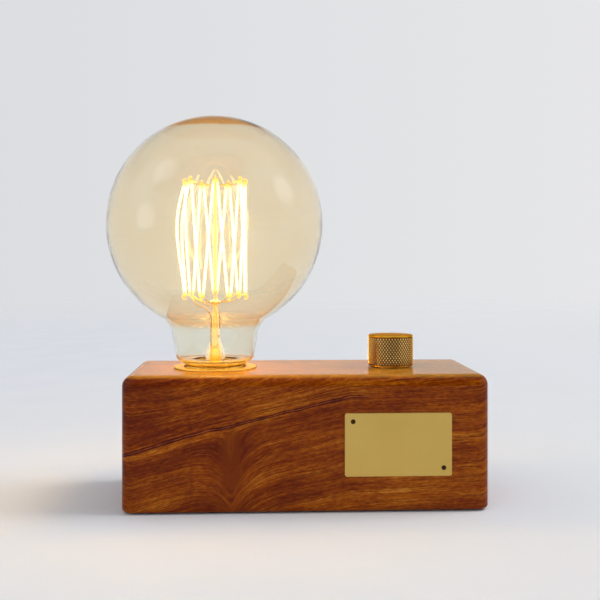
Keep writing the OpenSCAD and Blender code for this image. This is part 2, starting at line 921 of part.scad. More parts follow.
module dimmer_shaft() {
    shaft_top_z = knob_top_z - 2.3;
    groove_r = shaft_r - 0.5;
    color("silver")
        at_knob()
            difference() {
                rotate_extrude()
                    polygon([
                        [0, track_top_z + 0.4], [shaft_r, track_top_z + 0.4], [shaft_r, clip_z - snug],
                        [groove_r, clip_z - snug], [groove_r, clip_z + clip_t + snug],
                        [shaft_r, clip_z + clip_t + snug], [shaft_r, shaft_top_z], [0, shaft_top_z],
                    ]);
                box([-shaft_r - cut, shaft_r - flat_depth, recess_top_z + 0.4],
                    [shaft_r + cut, shaft_r + cut, shaft_top_z + cut]);
            }
}

module shaft_clip() {
    color("#505050")
        at_knob()
            difference() {
                tube(shaft_r + 1.5, shaft_r - 0.45, clip_z, clip_z + clip_t);
                box([-1.2, 0, clip_z - cut], [1.2, shaft_r + 3, clip_z + clip_t + cut]);
            }
}

module wiper_disc() {
    color("#6b4a2a")
        at_knob()
            tube(wiper_r, shaft_r + 0.03, wiper_z, wiper_z + wiper_t);
}

module wiper_contact() {
    tip_y = wiper_r - 1.1;
    color("goldenrod")
        at_knob()
            translate([-1.5, 0, wiper_z])
                rotate([90, 0, 90])
                    linear_extrude(3)
                        polygon([
                            [tip_y - 4.4, 0], [tip_y - 4.4, -0.25], [tip_y, -0.75], [tip_y, -0.5],
                            [tip_y - 3.4, 0],
                        ]);
}

module dimmer_case() {
    inner_r = case_r - case_wall;
    color("#8a8f94")
        at_knob()
            difference() {
                rod(case_r, case_low_z, deck_z);
                rod(inner_r, case_low_z - cut, deck_z - case_top_t);
                rod(bush_r + snug, deck_z - case_top_t - cut, deck_z + cut);
            }
}

module dimmer_bush() {
    collar_t = 1;
    color("goldenrod")
        at_knob()
            difference() {
                union() {
                    rod(bush_r, deck_z - case_top_t - snug - collar_t, bush_top_z);
                    rod(bush_r + 1.6, deck_z - case_top_t - snug - collar_t, deck_z - case_top_t - snug);
                }
                rod(shaft_r + snug, deck_z - case_h, bush_top_z + cut);
            }
}

module dimmer_washer() {
    color("silver")
        at_knob()
            tube(washer_r, bush_r + slip, top_z, top_z + washer_t);
}

module dimmer_nut() {
    color("silver")
        at_knob()
            translate([0, 0, top_z + washer_t])
                hex_nut(nut_r, bush_r + slip, nut_t);
}

module track_disc() {
    color("#4a2f1b")
        at_knob()
            rod(case_r - case_wall - slip, case_low_z, track_top_z);
}

module dimmer_lugs() {
    color("silver")
        at_knob()
            for (i = [-1, 0, 1])
                translate([i * lug_pitch, lug_y, 0])
                    box([-0.5, -0.25, board_z - 1], [0.5, 0.25, case_low_z]);
}

module circuit_board() {
    color("darkgreen")
        at_knob()
            difference() {
                translate([-board_w / 2, -board_d / 2, board_z])
                    cube([board_w, board_d, board_t]);
                at_corners(pillar_x, pillar_y)
                    rod(1.4, board_z - cut, board_z + board_t + cut);
                for (i = [-1, 0, 1])
                    translate([i * lug_pitch, lug_y, 0])
                        rod(0.8, board_z - cut, board_z + board_t + cut);
            }
}

module board_pillars() {
    color("gold")
        at_knob()
            at_corners(pillar_x, pillar_y)
                difference() {
                    union() {
                        rod(pillar_r, board_z + board_t, deck_z);
                        rod(1.2, deck_z - cut, deck_z + 5);
                    }
                    rod(1.25, board_z, board_z + board_t + 7);
                }
}

module board_screws() {
    color("silver")
        at_knob()
            at_corners(pillar_x, pillar_y)
                difference() {
                    union() {
                        rod(2.2, board_z - 1.5, board_z);
                        rod(1.2, board_z - 0.5, board_z + board_t + 6);
                    }
                    translate([0, 0, board_z - 1.5])
                        cube([3, 0.6, 1.2], center = true);
                }
}

module choke_core() {
    color("#55585c")
        translate([choke_at[0], choke_at[1], 0])
            tube(choke_r, choke_r - 2.6, board_z - winding_t - snug - choke_h, board_z - winding_t - snug);
}

// Winding over most of the ring core
module choke_winding() {
    in_r = choke_r - 2.6;
    low = board_z - winding_t - snug - choke_h;
    color("#b87333")
        translate([choke_at[0], choke_at[1], 0])
            rotate_extrude(angle = 300)
                difference() {
                    translate([in_r - winding_t, low - winding_t])
                        square([2.6 + 2 * winding_t, choke_h + 2 * winding_t]);
                    translate([in_r - snug, low - snug])
                        square([2.6 + 2 * snug, choke_h + 2 * snug]);
                }
}

module capacitor() {
    color("#c9a227")
        translate([capacitor_at[0], capacitor_at[1], board_z - capacitor_size[2]])
            cube(capacitor_size);
}

module triac() {
    body_top = board_z - 6;
    body_low = body_top - triac_h;
    color("#202020")
        translate([triac_at[0], triac_at[1], 0]) {
            box([0, 0, body_low], [triac_w, triac_t, body_top]);
            box([0, triac_t, body_low], [triac_w, triac_t + tab_t, body_top]);
            for (i = [1, 2, 3])
                translate([i * triac_w / 4, triac_t / 2, 0])
                    box([-0.4, -0.3, body_top], [0.4, 0.3, board_z]);
        }
}

module heat_sink() {
    sink_y = triac_at[1] + triac_t + tab_t + snug;
    sink_w = triac_w + 6;
    sink_low = board_z - 22;
    sink_top = board_z - 4;
    fin_t = 1.2;
    fin_pitch = (sink_w - fin_t) / 3;
    color("silver")
        translate([triac_at[0] - 3, sink_y, 0]) {
            box([0, 0, sink_low], [sink_w, sink_t, sink_top]);
            for (i = [0 : 3])
                translate([i * fin_pitch, 0, 0])
                    box([0, sink_t, sink_low], [fin_t, sink_t + 3, sink_top]);
        }
}

module terminal_block() {
    color("#2f6b4f")
        difference() {
            box([block_x, -block_len / 2, board_z - block_high],
                [block_x + block_wide, block_len / 2, board_z]);
            for (i = [-1, 0, 1])
                translate([block_x, i * 6.4, 0]) {
                    translate([-cut, 0, lead_entry_z])
                        rotate([0, 90, 0])
                            cylinder(r = wire_r + slip, h = 3 + cut);
                    translate([block_wide / 2 + 1, 0, 0])
                        rod(1.9, board_z - block_high - cut, board_z - block_high + 2);
                }
        }
}

module terminal_block_screws() {
    color("silver")
        for (i = [-1, 0, 1])
            translate([block_x + block_wide / 2 + 1, i * 6.4, 0])
                difference() {
                    rod(1.7, board_z - block_high - 0.2, board_z - block_high + 1.95);
                    translate([0, 0, board_z - block_high - 0.2])
                        cube([2.6, 0.5, 1.2], center = true);
                }
}

// A lead sags from the terminal block to its terminal in the lampholder
module lead(side) {
    from = [block_x + 2.9, side * 6.4, lead_entry_z];
    to = [-holder_x + 0.4, side * terminal_y, terminal_top_z - terminal_h / 2 + 0.6];
    out = from - [6, 0, 0];
    in = to + [holder_r + 2, 0, 0];
    steps = 10;
    sag_z = floor_z + 5;
    path = concat(
        [from],
        [for (i = [0 : steps])
            let (s = i / steps, p = out + s * (in - out), dip = min(out[2], in[2]) - sag_z)
                p - [0, 0, dip * pow(sin(180 * s), 2)]],
        [to]
    );
    wire(path, wire_r, 8, [0, 1, 0]);
}

module live_lead() {
    color("saddlebrown")
        lead(-1);
}

module neutral_lead() {
    color("royalblue")
        lead(1);
}

// --- Cord inlet at the back ---

module inlet_bush() {
    color("#222222")
        translate([0, 0, inlet_z])
            rotate([-90, 0, 0])
                difference() {
                    union() {
                        rod(inlet_r, inlet_wall_y - inlet_nut_t - 1.5, inlet_back_y + inlet_flange_t);
                        translate([0, 0, inlet_back_y])
                            cylinder(r1 = inlet_flange_r, r2 = inlet_flange_r - 0.8, h = inlet_flange_t);
                    }
                    rod(inlet_bore / 2, 0, inlet_back_y + inlet_flange_t + cut);
                }
}

module inlet_nut() {
    color("#333333")
        translate([0, inlet_wall_y - inlet_nut_t, inlet_z])
            rotate([-90, 0, 0])
                hex_nut(inlet_nut_r, inlet_r + slip, inlet_nut_t);
}

// --- Nameplate, left bare ---

// The front face as a drawing plane: its z points out of the wood
module on_front() {
    translate([nameplate_x, -block_d / 2, nameplate_z])
        rotate([90, 0, 0])
            children();
}

module at_nameplate_pins() {
    on_front()
        for (side = [-1, 1])
            translate([side * (nameplate_w / 2 - pin_inset), -side * (nameplate_h / 2 - pin_inset), 0])
                children();
}

module nameplate() {
    color("goldenrod")
        difference() {
            on_front()
                rounded_slab(nameplate_w, nameplate_h, 1, 0, nameplate_t);
            at_nameplate_pins()
                translate([0, 0, -cut])
                    cylinder(r = 0.7, h = nameplate_t + 2 * cut);
        }
}

module nameplate_pins() {
    color("#4a3820")
        at_nameplate_pins()
            rotate_extrude()
                polygon([
                    [0, -6.5], [0.6, -5.5], [0.6, nameplate_t], [pin_head_d / 2, nameplate_t],
                    [pin_head_d / 2, nameplate_t + 0.2], [pin_head_d / 3, nameplate_t + 0.45],
                    [0, nameplate_t + 0.5],
                ]);
}

wood_block();
base_plate();
base_screws();
foot_pad();
trim_ring();
holder_body();
holder_shell();
holder_contact();
holder_side_strip();
holder_rivets();
holder_terminals();
holder_terminal_screws();
bulb_glass();
bulb_cap();
cap_insulator();
cap_contact();
basing_cement();
glass_stem();
lead_in_wires();
lower_hooks();
upper_hooks();
filament();
knob();
knob_set_screw();
dimmer_shaft();
shaft_clip();
wiper_disc();
wiper_contact();
dimmer_case();
dimmer_bush();
dimmer_washer();
dimmer_nut();
track_disc();
dimmer_lugs();
circuit_board();
board_pillars();
board_screws();
choke_core();
choke_winding();
capacitor();
triac();
heat_sink();
terminal_block();
terminal_block_screws();
live_lead();
neutral_lead();
inlet_bush();
inlet_nut();
nameplate();
nameplate_pins();
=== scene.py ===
"""Looks of the bare bulb table lamp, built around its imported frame.

Shapes here are written in millimetres in the frame's own axes: +X right, +Z up, front to -Y.
"""

import json
from math import atan2, cos, degrees, pi, radians, sin, sqrt, tan

import bmesh
import bpy
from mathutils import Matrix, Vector


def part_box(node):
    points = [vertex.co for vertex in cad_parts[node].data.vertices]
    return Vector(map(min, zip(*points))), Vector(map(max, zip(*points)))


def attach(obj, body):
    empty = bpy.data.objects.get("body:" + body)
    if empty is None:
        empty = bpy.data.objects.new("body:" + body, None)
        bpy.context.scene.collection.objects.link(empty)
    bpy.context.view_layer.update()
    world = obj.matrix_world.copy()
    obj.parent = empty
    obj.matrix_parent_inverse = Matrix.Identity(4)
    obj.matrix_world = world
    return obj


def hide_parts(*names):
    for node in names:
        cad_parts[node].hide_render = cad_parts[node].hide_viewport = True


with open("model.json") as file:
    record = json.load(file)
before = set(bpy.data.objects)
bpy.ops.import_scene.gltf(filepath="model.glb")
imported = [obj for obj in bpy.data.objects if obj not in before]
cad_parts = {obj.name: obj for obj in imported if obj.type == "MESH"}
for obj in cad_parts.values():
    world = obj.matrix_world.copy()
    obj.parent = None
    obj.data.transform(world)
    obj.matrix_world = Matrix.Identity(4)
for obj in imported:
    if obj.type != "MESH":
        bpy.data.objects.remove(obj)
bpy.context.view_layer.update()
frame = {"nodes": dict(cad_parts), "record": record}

MM = 0.001
TAU = 2 * pi
ON_AXIS = 1e-6  # a radius below this is a point on the axis
WELD = 1e-7  # corners nearer than this, in metres, become one


# --- Places and sizes, read from the frame where it holds them ---

def box_mm(node):
    low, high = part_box(node)
    return Vector(low) / MM, Vector(high) / MM


def middle(node):
    low, high = box_mm(node)
    return (low + high) / 2


TOP_Z = box_mm("wood_block")[1].z
HOLDER_X = middle("trim_ring").x
KNOB_X = middle("knob").x

# The bulb's cap: a threaded tube with a flared rim
CAP_LOW_Z, RIM_Z = (corner.z for corner in box_mm("bulb_cap"))
CAP_BORE_R = 11.46
THREAD_R = 13.2
THREAD_DEPTH = 1.1
PITCH = 3.629

# The bulb's glass: a globe, a fillet, a neck that narrows to its foot, and a seal inside the cap
GLASS_LOW, GLASS_HIGH = box_mm("bulb_glass")
GLOBE_R = (GLASS_HIGH.x - GLASS_LOW.x) / 2
GLOBE_Z = GLASS_HIGH.z - GLOBE_R
GLASS_T = 0.8
GLASS_FOOT_Z = RIM_Z + 0.05
NECK_R = 17.2
NECK_R_Z = GLASS_FOOT_Z + 2.35  # where the neck has that radius
NECK_LEAN = radians(10.6)
NECK_FILLET = 9
NECK_EDGE = 2.6
SEAL_Z = GLASS_LOW.z
SEAL_R = 10.6

# The filament: strands up and down a round cage, over the upper hooks and under the lower ones
CAGE_R = 13.6
CAGE_LOW_Z = TOP_Z + 31.4
CAGE_TOP_Z = CAGE_LOW_Z + 51
HOOKS = 7
HOOK_START = 170  # degrees round from +X to the first upper hook
HOOK_STEP = 360 / HOOKS
HOOK_WIRE_R = 0.2
TURN_R = 0.75  # radius of a strand's turn over its hook
UPPER_Z = CAGE_TOP_Z - TURN_R
LOWER_Z = CAGE_LOW_Z + TURN_R
STRAND_BOW = 3.8  # how far the slack strand bows out
BOW_SIDE = 192  # degrees round from +X to the slack strand
COIL_R = 0.4
COIL_WIRE_R = 0.16
COIL_PITCH = 0.5
COIL_STEPS = 9

# The mount: its glass button, and the two lead-in wires
BUTTON_Z = CAGE_LOW_Z - 2.6
BUTTON_R = 2.6
LEAD_R = 0.25
LEAD_X = 3  # from the axis to each wire inside the mount
LEAD_TURN = 20.7  # degrees from the end hooks to the wires' ends

# The knob: a plain rim and foot with knurling between, hollow underneath for the nut
KNOB_LOW, KNOB_HIGH = box_mm("knob")
KNOB_R = (KNOB_HIGH.x - KNOB_LOW.x) / 2
KNURL_LOW_Z = KNOB_LOW.z + 0.5
KNURL_HIGH_Z = KNOB_HIGH.z - 0.75
KNURLS = 48
KNURL_ROWS = 14
KNURL_DEPTH = 0.36
KNURL_FLAT = 0.5  # the flat top's share of a pyramid's width
VALLEY_R = KNOB_R - KNURL_DEPTH
RIM_R = KNOB_R - 0.02
FOOT_R = KNOB_R - 0.05
RECESS_R = 8.0
RECESS_TOP_Z = TOP_Z + 4.6
SHAFT_HOLE_R = 3.03
SHAFT_HOLE_TOP_Z = KNOB_HIGH.z - 2
SET_SCREW_HOLE_R = 1.55

# The trim ring: a flat flange on the wood, and a skirt down into its hole
RING_LOW, RING_HIGH = box_mm("trim_ring")
FLANGE_R = (RING_HIGH.x - RING_LOW.x) / 2
RING_HOLE_R = 13.7
SKIRT_IN_R = 15.7
SKIRT_R = 16.5
RING_EDGE = 0.3

# The plate and its pins
PLATE_LOW, PLATE_HIGH = box_mm("nameplate")
PLATE_CORNER = 1.0
PLATE_BEVEL = 0.22
PINS_LOW, PINS_HIGH = box_mm("nameplate_pins")
PIN_HOLE_R = 0.7
PIN_HEAD_R = 1.0
PIN_R = 0.6
HOLE_SIDES = 32


# --- Mesh helpers ---

def turns(count):
    """Equal steps of angle, once round."""
    return [TAU * k / count for k in range(count)]


def around_z(axis_x, r, z, angle):
    """A point round an upright axis; the angle in radians."""
    return (axis_x + r * cos(angle), r * sin(angle), z)


def ring_faces(rings, n, capped):
    """Faces between rings of n points; the ends are capped, or else the last ring joins the first."""
    pairs = [(i, (i + 1) % rings) for i in range(rings - 1 if capped else rings)]
    faces = [(a * n + k, a * n + (k + 1) % n, b * n + (k + 1) % n, b * n + k)
             for a, b in pairs for k in range(n)]
    if capped:
        faces += [tuple(range(n)), tuple(range((rings - 1) * n, rings * n))]
    return faces


def add_object(name, data):
    obj = bpy.data.objects.new(name, data)
    bpy.context.scene.collection.objects.link(obj)
    return obj


def make_object(name, verts, faces, sharp_above):
    """A smooth-shaded object; edges steeper than sharp_above degrees stay sharp."""
    mesh = bpy.data.meshes.new(name)
    mesh.from_pydata([Vector(v) * MM for v in verts], [], faces)
    shell = bmesh.new()
    shell.from_mesh(mesh)
    bmesh.ops.remove_doubles(shell, verts=shell.verts, dist=WELD)
    bmesh.ops.recalc_face_normals(shell, faces=shell.faces)
    shell.to_mesh(mesh)
    shell.free()
    mesh.shade_smooth()
    mesh.set_sharp_from_angle(angle=radians(sharp_above))
    return add_object(name, mesh)


def welded(name, faces, sharp_above):
    """An object from faces that are given by their corners, joined where those meet."""
    verts, numbered = [], []
    for corners in faces:
        numbered.append(tuple(range(len(verts), len(verts) + len(corners))))
        verts += corners
    return make_object(name, verts, numbered, sharp_above)


def arc(centre, radius, start, end, steps):
    """Points of an arc in the plane; angles in degrees."""
    angles = [radians(start + (end - start) * i / steps) for i in range(steps + 1)]
    return [(centre[0] + radius * cos(a), centre[1] + radius * sin(a)) for a in angles]


def soften(points, radius, steps, closed=True):
    """Replaces each corner of an outline by a small curve, as an edge that was broken by hand."""
    out, n = [], len(points)
    for i, p in enumerate(points):
        if not closed and i in (0, n - 1):
            out.append(tuple(p))
            continue
        here, before, after = Vector(p), Vector(points[i - 1]), Vector(points[(i + 1) % n])
        cut_in = min(radius, (before - here).length * 0.45)
        cut_out = min(radius, (after - here).length * 0.45)
        a = here + (before - here).normalized() * cut_in
        b = here + (after - here).normalized() * cut_out
        for k in range(steps + 1):
            t = k / steps
            out.append(tuple((1 - t) ** 2 * a + 2 * t * (1 - t) * here + t * t * b))
    return out


def through(points, steps):
    """A smooth curve through the given points, of any dimension."""
    pts = [Vector(p) for p in points]
    pts = [2 * pts[0] - pts[1]] + pts + [2 * pts[-1] - pts[-2]]
    out = []
    for a, b, c, d in zip(pts, pts[1:], pts[2:], pts[3:]):
        for k in range(steps):
            t = k / steps
            out.append(0.5 * (2 * b + (c - a) * t + (2 * a - 5 * b + 4 * c - d) * t * t
                              + (3 * b - a - 3 * c + d) * t ** 3))
    return out + [pts[-2]]


def between(value, points):
    """The height at value of a line through points, each a place and a height."""
    for (a, b), (c, d) in zip(points, points[1:]):
        if value <= c:
            return b + (d - b) * max(0, value - a) / (c - a)
    return points[-1][1]


def lathe(name, profile, centre_x, segments, sharp_above, closed=True):
    """A profile of radii and heights, turned about an upright axis."""
    verts, rings = [], []
    for r, z in profile:
        if r < ON_AXIS:
            rings.append([len(verts)] * segments)
            verts.append((centre_x, 0, z))
            continue
        rings.append([len(verts) + i for i in range(segments)])
        verts += [around_z(centre_x, r, z, a) for a in turns(segments)]
    pairs = list(zip(rings, rings[1:]))
    if closed:
        pairs.append((rings[-1], rings[0]))
    faces = []
    for a, b in pairs:
        for i in range(segments):
            j = (i + 1) % segments
            face = list(dict.fromkeys((a[i], a[j], b[j], b[i])))
            if len(face) > 2:
                faces.append(face)
    return make_object(name, verts, faces, sharp_above)


def turned_faces(profile, sides, point):
    """Faces of a turned shape, by their corners; point(r, along, angle) places a profile's point."""
    faces = []
    for p, q in zip(profile, profile[1:]):
        for k in range(sides):
            a, b = TAU * k / sides, TAU * (k + 1) / sides
            corners = [point(*p, a), point(*p, b), point(*q, b), point(*q, a)]
            faces.append(corners if q[0] > ON_AXIS else corners[:3])
    return faces


def frames_along(path):
    """A direction and a normal for each point, carried along so that nothing twists."""
    out, normal = [], None
    for i, p in enumerate(path):
        ahead = (path[min(i + 1, len(path) - 1)] - path[max(i - 1, 0)]).normalized()
        if normal is None:
            normal = ahead.orthogonal()
        normal = (normal - normal.dot(ahead) * ahead).normalized()
        out.append((p, ahead, normal))
    return out


def wires(name, paths, radius, sides=10):
    """One object of round wires with closed ends."""
    verts, faces = [], []
    for path in paths:
        faces += [tuple(len(verts) + i for i in face) for face in ring_faces(len(path), sides, capped=True)]
        for p, ahead, normal in frames_along(path):
            side = ahead.cross(normal)
            verts += [p + radius * (cos(a) * normal + sin(a) * side) for a in turns(sides)]
    return make_object(name, verts, faces, sharp_above=60)


def coiled(path, coil_r, pitch, steps):
    """A path wound around another path, with so many steps a turn."""
    out, turned = [], 0.0
    frames = frames_along(path)
    for (p, ahead, n), (q, ahead_q, m) in zip(frames, frames[1:]):
        length = (q - p).length
        count = max(1, round(length / pitch * steps))
        for k in range(count):
            t = k / count
            direction = ahead.lerp(ahead_q, t).normalized()
            normal = n.lerp(m, t)
            normal = (normal - normal.dot(direction) * direction).normalized()
            angle = turned + TAU * t * length / pitch
            out.append(p.lerp(q, t) + coil_r * (cos(angle) * normal
                                               + sin(angle) * direction.cross(normal)))
        turned += TAU * length / pitch
    return out


def drill(name, radius, start, length):
    """A rod from start along +Y, for cutting a hole."""
    verts = [(start[0] + radius * cos(a), start[1] + y, start[2] + radius * sin(a))
             for y in (0, length) for a in turns(HOLE_SIDES)]
    return make_object(name, verts, ring_faces(2, HOLE_SIDES, capped=True), sharp_above=35)


def boolean_cut(obj, cutters, sharp_above):
    """Cuts the cutters out of an object and deletes them."""
    for cutter in cutters:
        change = obj.modifiers.new("cut", "BOOLEAN")
        change.operation = "DIFFERENCE"
        change.solver = "EXACT"
        change.object = cutter
    graph = bpy.context.evaluated_depsgraph_get()
    mesh = bpy.data.meshes.new_from_object(obj.evaluated_get(graph))
    mesh.set_sharp_from_angle(angle=radians(sharp_above))
    obj.modifiers.clear()
    obj.data = mesh
    for cutter in cutters:
        bpy.data.objects.remove(cutter)


# --- Material helpers ---

NOISE_LOW = 0.3  # nearly all of a noise texture's values lie between these
NOISE_HIGH = 0.7


def colour(code):
    """A linear colour from a hex code as seen on screen."""
    def linear(c):
        return c / 12.92 if c <= 0.04045 else ((c + 0.055) / 1.055) ** 2.4
    return (*[linear(int(code[i:i + 2], 16) / 255) for i in (0, 2, 4)], 1.0)


class Shader:
    """The nodes of one material or world, with a short call for each kind in use."""

    def __init__(self, owner):
        """owner is the name of a new material, or a world."""
        self.owner = bpy.data.materials.new(owner) if isinstance(owner, str) else owner
        self.owner.use_nodes = True
        self.nodes = self.owner.node_tree.nodes
        self.links = self.owner.node_tree.links
        self.nodes.clear()

    def node(self, kind, values=None, **settings):
        """Adds a node; each input takes a socket, a plain value, or a colour as a hex code."""
        node = self.nodes.new("ShaderNode" + kind)
        for key, value in settings.items():
            setattr(node, key, value)
        for key, value in (values or {}).items():
            if isinstance(value, bpy.types.NodeSocket):
                self.links.new(value, node.inputs[key])
            else:
                node.inputs[key].default_value = colour(value) if isinstance(value, str) else value
        return node

    def put(self, kind, values=None, **settings):
        """Adds a node and gives its first output."""
        return self.node(kind, values, **settings).outputs[0]

    def place(self):
        """The point on the surface, in millimetres of the frame."""
        here = self.node("TexCoord").outputs["Object"]
        return self.put("VectorMath", {0: here, "Scale": 1 / MM}, operation="SCALE")

    def stretch(self, vector, x, y, z):
        return self.put("VectorMath", {0: vector, 1: (x, y, z)}, operation="MULTIPLY")

    def dot(self, a, b):
        return self.node("VectorMath", {0: a, 1: b}, operation="DOT_PRODUCT").outputs["Value"]

    def length(self, vector):
        return self.node("VectorMath", {0: vector}, operation="LENGTH").outputs["Value"]

    def parts(self, vector):
        return self.node("SeparateXYZ", {0: vector}).outputs

    def join(self, x, y, z):
        return self.put("CombineXYZ", {0: x, 1: y, 2: z})

    def noise(self, vector, detail, roughness, scale=1.0, distortion=0.0):
        return self.put("TexNoise", {"Vector": vector, "Scale": scale, "Detail": detail,
                                     "Roughness": roughness, "Distortion": distortion})

    def maths(self, operation, a, b=0.0):
        return self.put("Math", {0: a, 1: b}, operation=operation)

    def minus(self, a, b):
        return self.maths("SUBTRACT", a, b)

    def total(self, first, *rest):
        for value in rest:
            first = self.maths("ADD", first, value)
        return first

    def product(self, first, *rest):
        for value in rest:
            first = self.maths("MULTIPLY", first, value)
        return first

    def apart(self, a, b):
        """The distance between two numbers."""
        return self.maths("ABSOLUTE", self.minus(a, b))

    def from_axis(self, x, y, axis_x):
        """The distance from an upright axis that stands at axis_x."""
        return self.length(self.join(self.minus(x, axis_x), y, 0.0))

    def span(self, value, low, high, to_low=0.0, to_high=1.0, kind="LINEAR"):
        """Takes low..high to to_low..to_high, and holds the ends."""
        return self.put("MapRange", {"Value": value, "From Min": low, "From Max": high, "To Min": to_low,
                                     "To Max": to_high}, interpolation_type=kind)

    def ease(self, value, low, high, to_low=0.0, to_high=1.0):
        """As span, but starts and ends softly."""
        return self.span(value, low, high, to_low, to_high, "SMOOTHSTEP")

    def spread(self, noise, to_low=0.0, to_high=1.0):
        """Takes a noise over its whole range to to_low..to_high."""
        return self.span(noise, NOISE_LOW, NOISE_HIGH, to_low, to_high)

    def sway(self, noise, reach):
        """A noise that goes from -reach to reach."""
        return self.spread(noise, -reach, reach)

    def ramp(self, value, stops):
        """A colour ramp; stops are pairs of a position and a hex code."""
        node = self.node("ValToRGB", {0: value})
        ends = node.color_ramp.elements
        while len(ends) < len(stops):
            ends.new(0.5)
        for end, (position, code) in zip(ends, stops):
            end.position = position
            end.color = colour(code)
        return node.outputs[0]

    def blend(self, amount, a, b):
        return self.node("Mix", {0: amount, 6: a, 7: b}, data_type="RGBA").outputs[2]

    def bump(self, height, depth):
        return self.put("Bump", {"Height": height, "Distance": depth * MM, "Strength": 1.0})

    def surface(self, **values):
        named = {key.replace("_", " "): value for key, value in values.items()}
        return self.put("BsdfPrincipled", named)

    def mix(self, amount, a, b):
        return self.put("MixShader", {0: amount, 1: a, 2: b})

    def done(self, surface):
        self.node("OutputMaterial", {"Surface": surface}).is_active_output = True
        return self.owner

    def solid(self, **values):
        """Finishes a material that is one plain surface."""
        return self.done(self.surface(**values))


# --- Metals and mouldings ---

TARNISH = 0.55  # how far clouds of tarnish go towards the worn colour
MARKS_SHADE = 0.22  # how far tool marks do


def metal(name, base, worn, roughness, grain, depth=0.004, spots=0.5, metallic=1.0, rim="ffffff"):
    """Metal with fine tool marks and cloudy tarnish; rim tints what it mirrors at a glancing angle."""
    s = Shader(name)
    here = s.place()
    marks = s.noise(s.stretch(here, *grain), 6, 0.7)
    clouds = s.noise(here, 3, 0.5, scale=spots, distortion=0.6)
    shade = s.blend(s.span(clouds, 0.42, 0.72, 0, TARNISH), base, worn)
    shade = s.blend(s.span(marks, 0.35, 0.7, 0, MARKS_SHADE), shade, worn)
    rough = s.total(s.spread(marks, roughness * 0.75, roughness * 1.25),
                    s.span(clouds, 0.5, 0.8, 0, roughness * 0.5))
    return s.solid(Base_Color=shade, Metallic=metallic, Roughness=rough, Specular_Tint=rim,
                   Normal=s.bump(marks, depth))


def moulded(name, base, dark, roughness, grain, depth, coat=0.0):
    """Moulded plastic, rubber or ceramic with a fine texture and a faint mottle."""
    s = Shader(name)
    here = s.place()
    fine = s.noise(here, 5, 0.6, scale=grain)
    mottle = s.noise(here, 3, 0.5, scale=grain * 0.12, distortion=0.4)
    shade = s.blend(s.span(mottle, 0.35, 0.7), base, dark)
    rough = s.spread(fine, roughness * 0.85, min(1.0, roughness * 1.15))
    return s.solid(Base_Color=shade, Roughness=rough, Coat_Weight=coat,
                   Coat_Roughness=0.12, Normal=s.bump(fine, depth))


KNURL_FADE = 0.15  # over which the knurl's colours start at the rim and the foot
TURNING_MARKS = 6.0  # waves of tool marks a millimetre
# how far the knurled band is painted pale, as a painted highlight
KNURL_PAINTED_HIGHLIGHT = 0.55
# how far the grooves are painted dark, as painted shade
GROOVES_PAINTED_SHADE = 0.9


def knurled_brass():
    """Polished brass with painted light: the knurled band painted paler as a highlight, its grooves painted
    dark as shade between the small flat tops.
    """
    s = Shader("knurled_brass")
    x, y, z = s.parts(s.place())
    out = s.from_axis(x, y, KNOB_X)
    knurled = s.product(s.span(z, KNURL_LOW_Z, KNURL_LOW_Z + KNURL_FADE),
                        s.span(z, KNURL_HIGH_Z, KNURL_HIGH_Z - KNURL_FADE))
    groove = s.product(s.ease(out, KNOB_R - KNURL_DEPTH * 0.12, KNOB_R - KNURL_DEPTH * 0.6),
                       s.span(out, KNOB_R - KNURL_DEPTH * 1.3, KNOB_R - KNURL_DEPTH * 1.1), knurled)
    turned = s.noise(s.join(0.0, s.product(out, TURNING_MARKS), s.product(z, TURNING_MARKS)), 3, 0.6)
    on_top = s.span(z, KNOB_HIGH.z - 0.1, KNOB_HIGH.z - 0.01)
    shade = s.blend(s.span(turned, 0.35, 0.65), "f4c040", "e2a42c")
    # Painted highlight: the knurled band is painted pale pinkish-gold, as its flat tops shine
    shade = s.blend(s.product(knurled, KNURL_PAINTED_HIGHLIGHT), shade, "ffdc9c")
    # Painted shade: the grooves are painted dark brown where shade falls between the flat tops
    shade = s.blend(s.product(groove, GROOVES_PAINTED_SHADE), shade, "5a2804")
    rough = s.total(s.spread(turned, 0.1, 0.2), s.product(groove, 0.25), s.product(on_top, 0.22))
    return s.solid(Base_Color=shade, Metallic=1.0, Roughness=rough, Specular_Tint="e8b04a",
                   Normal=s.bump(turned, 0.002))


def plate_metal():
    """Brass-coloured sheet, brushed along its length under a thin lacquer."""
    s = Shader("plate_brass")
    here = s.place()
    brushed = s.noise(s.stretch(here, 0.35, 3, 16), 5, 0.65)
    cloud = s.noise(here, 2, 0.5, scale=0.05)
    shade = s.blend(s.span(cloud, 0.35, 0.65, 0, 0.5), "d3b25c", "cca850")
    shade = s.blend(s.span(brushed, 0.35, 0.65, 0, 0.16), shade, "e2c583")
    rough = s.spread(brushed, 0.36, 0.5)
    return s.solid(Base_Color=shade, Metallic=0.35, Roughness=rough, Specular_IOR_Level=0.2,
                   Normal=s.bump(brushed, 0.003))


# --- Wood ---

# The block's figure, as heights of a grain line that crosses x = 0 at z = 0
GRAIN_RISE = 0.236  # rise of the lines to the right, over the middle of the front
RIGHT_X = 18  # right of this they flatten
RIGHT_RISE = 0.04
LEFT_X = -45  # left of this they flatten near the top and steepen near the bottom
LEFT_RISE_HIGH = 0.09
LEFT_RISE_LOW = 0.30
CROTCH_X = -31.0  # where the lines dip into the crotch low on the front
CROTCH_DROP = 13.0
CROTCH_REACH = 4.8
CROTCH_ROUND = 1.5  # rounds off the bottom of the dip
HEART_R = 2.2  # half the width of the crotch's dark heart, and where it has faded out
HEART_FADED_R = 5.2
HEART_DARK = 0.78
PITH_Y = 70  # the tree's middle, behind and below the block
PITH_Z = -160
SEAM_LEVEL = 43.6  # the dark seam's height where it crosses x = 0
SEAM_HALF = 0.42  # half the distance between the seam's two dark lips
TOP_PAINTED_GLOW = 0.4  # how far the top is painted paler and yellower, a painted glow and reflection of the bulb's light
DARK_END = 0.26  # how much darker the wood is at its upper left end

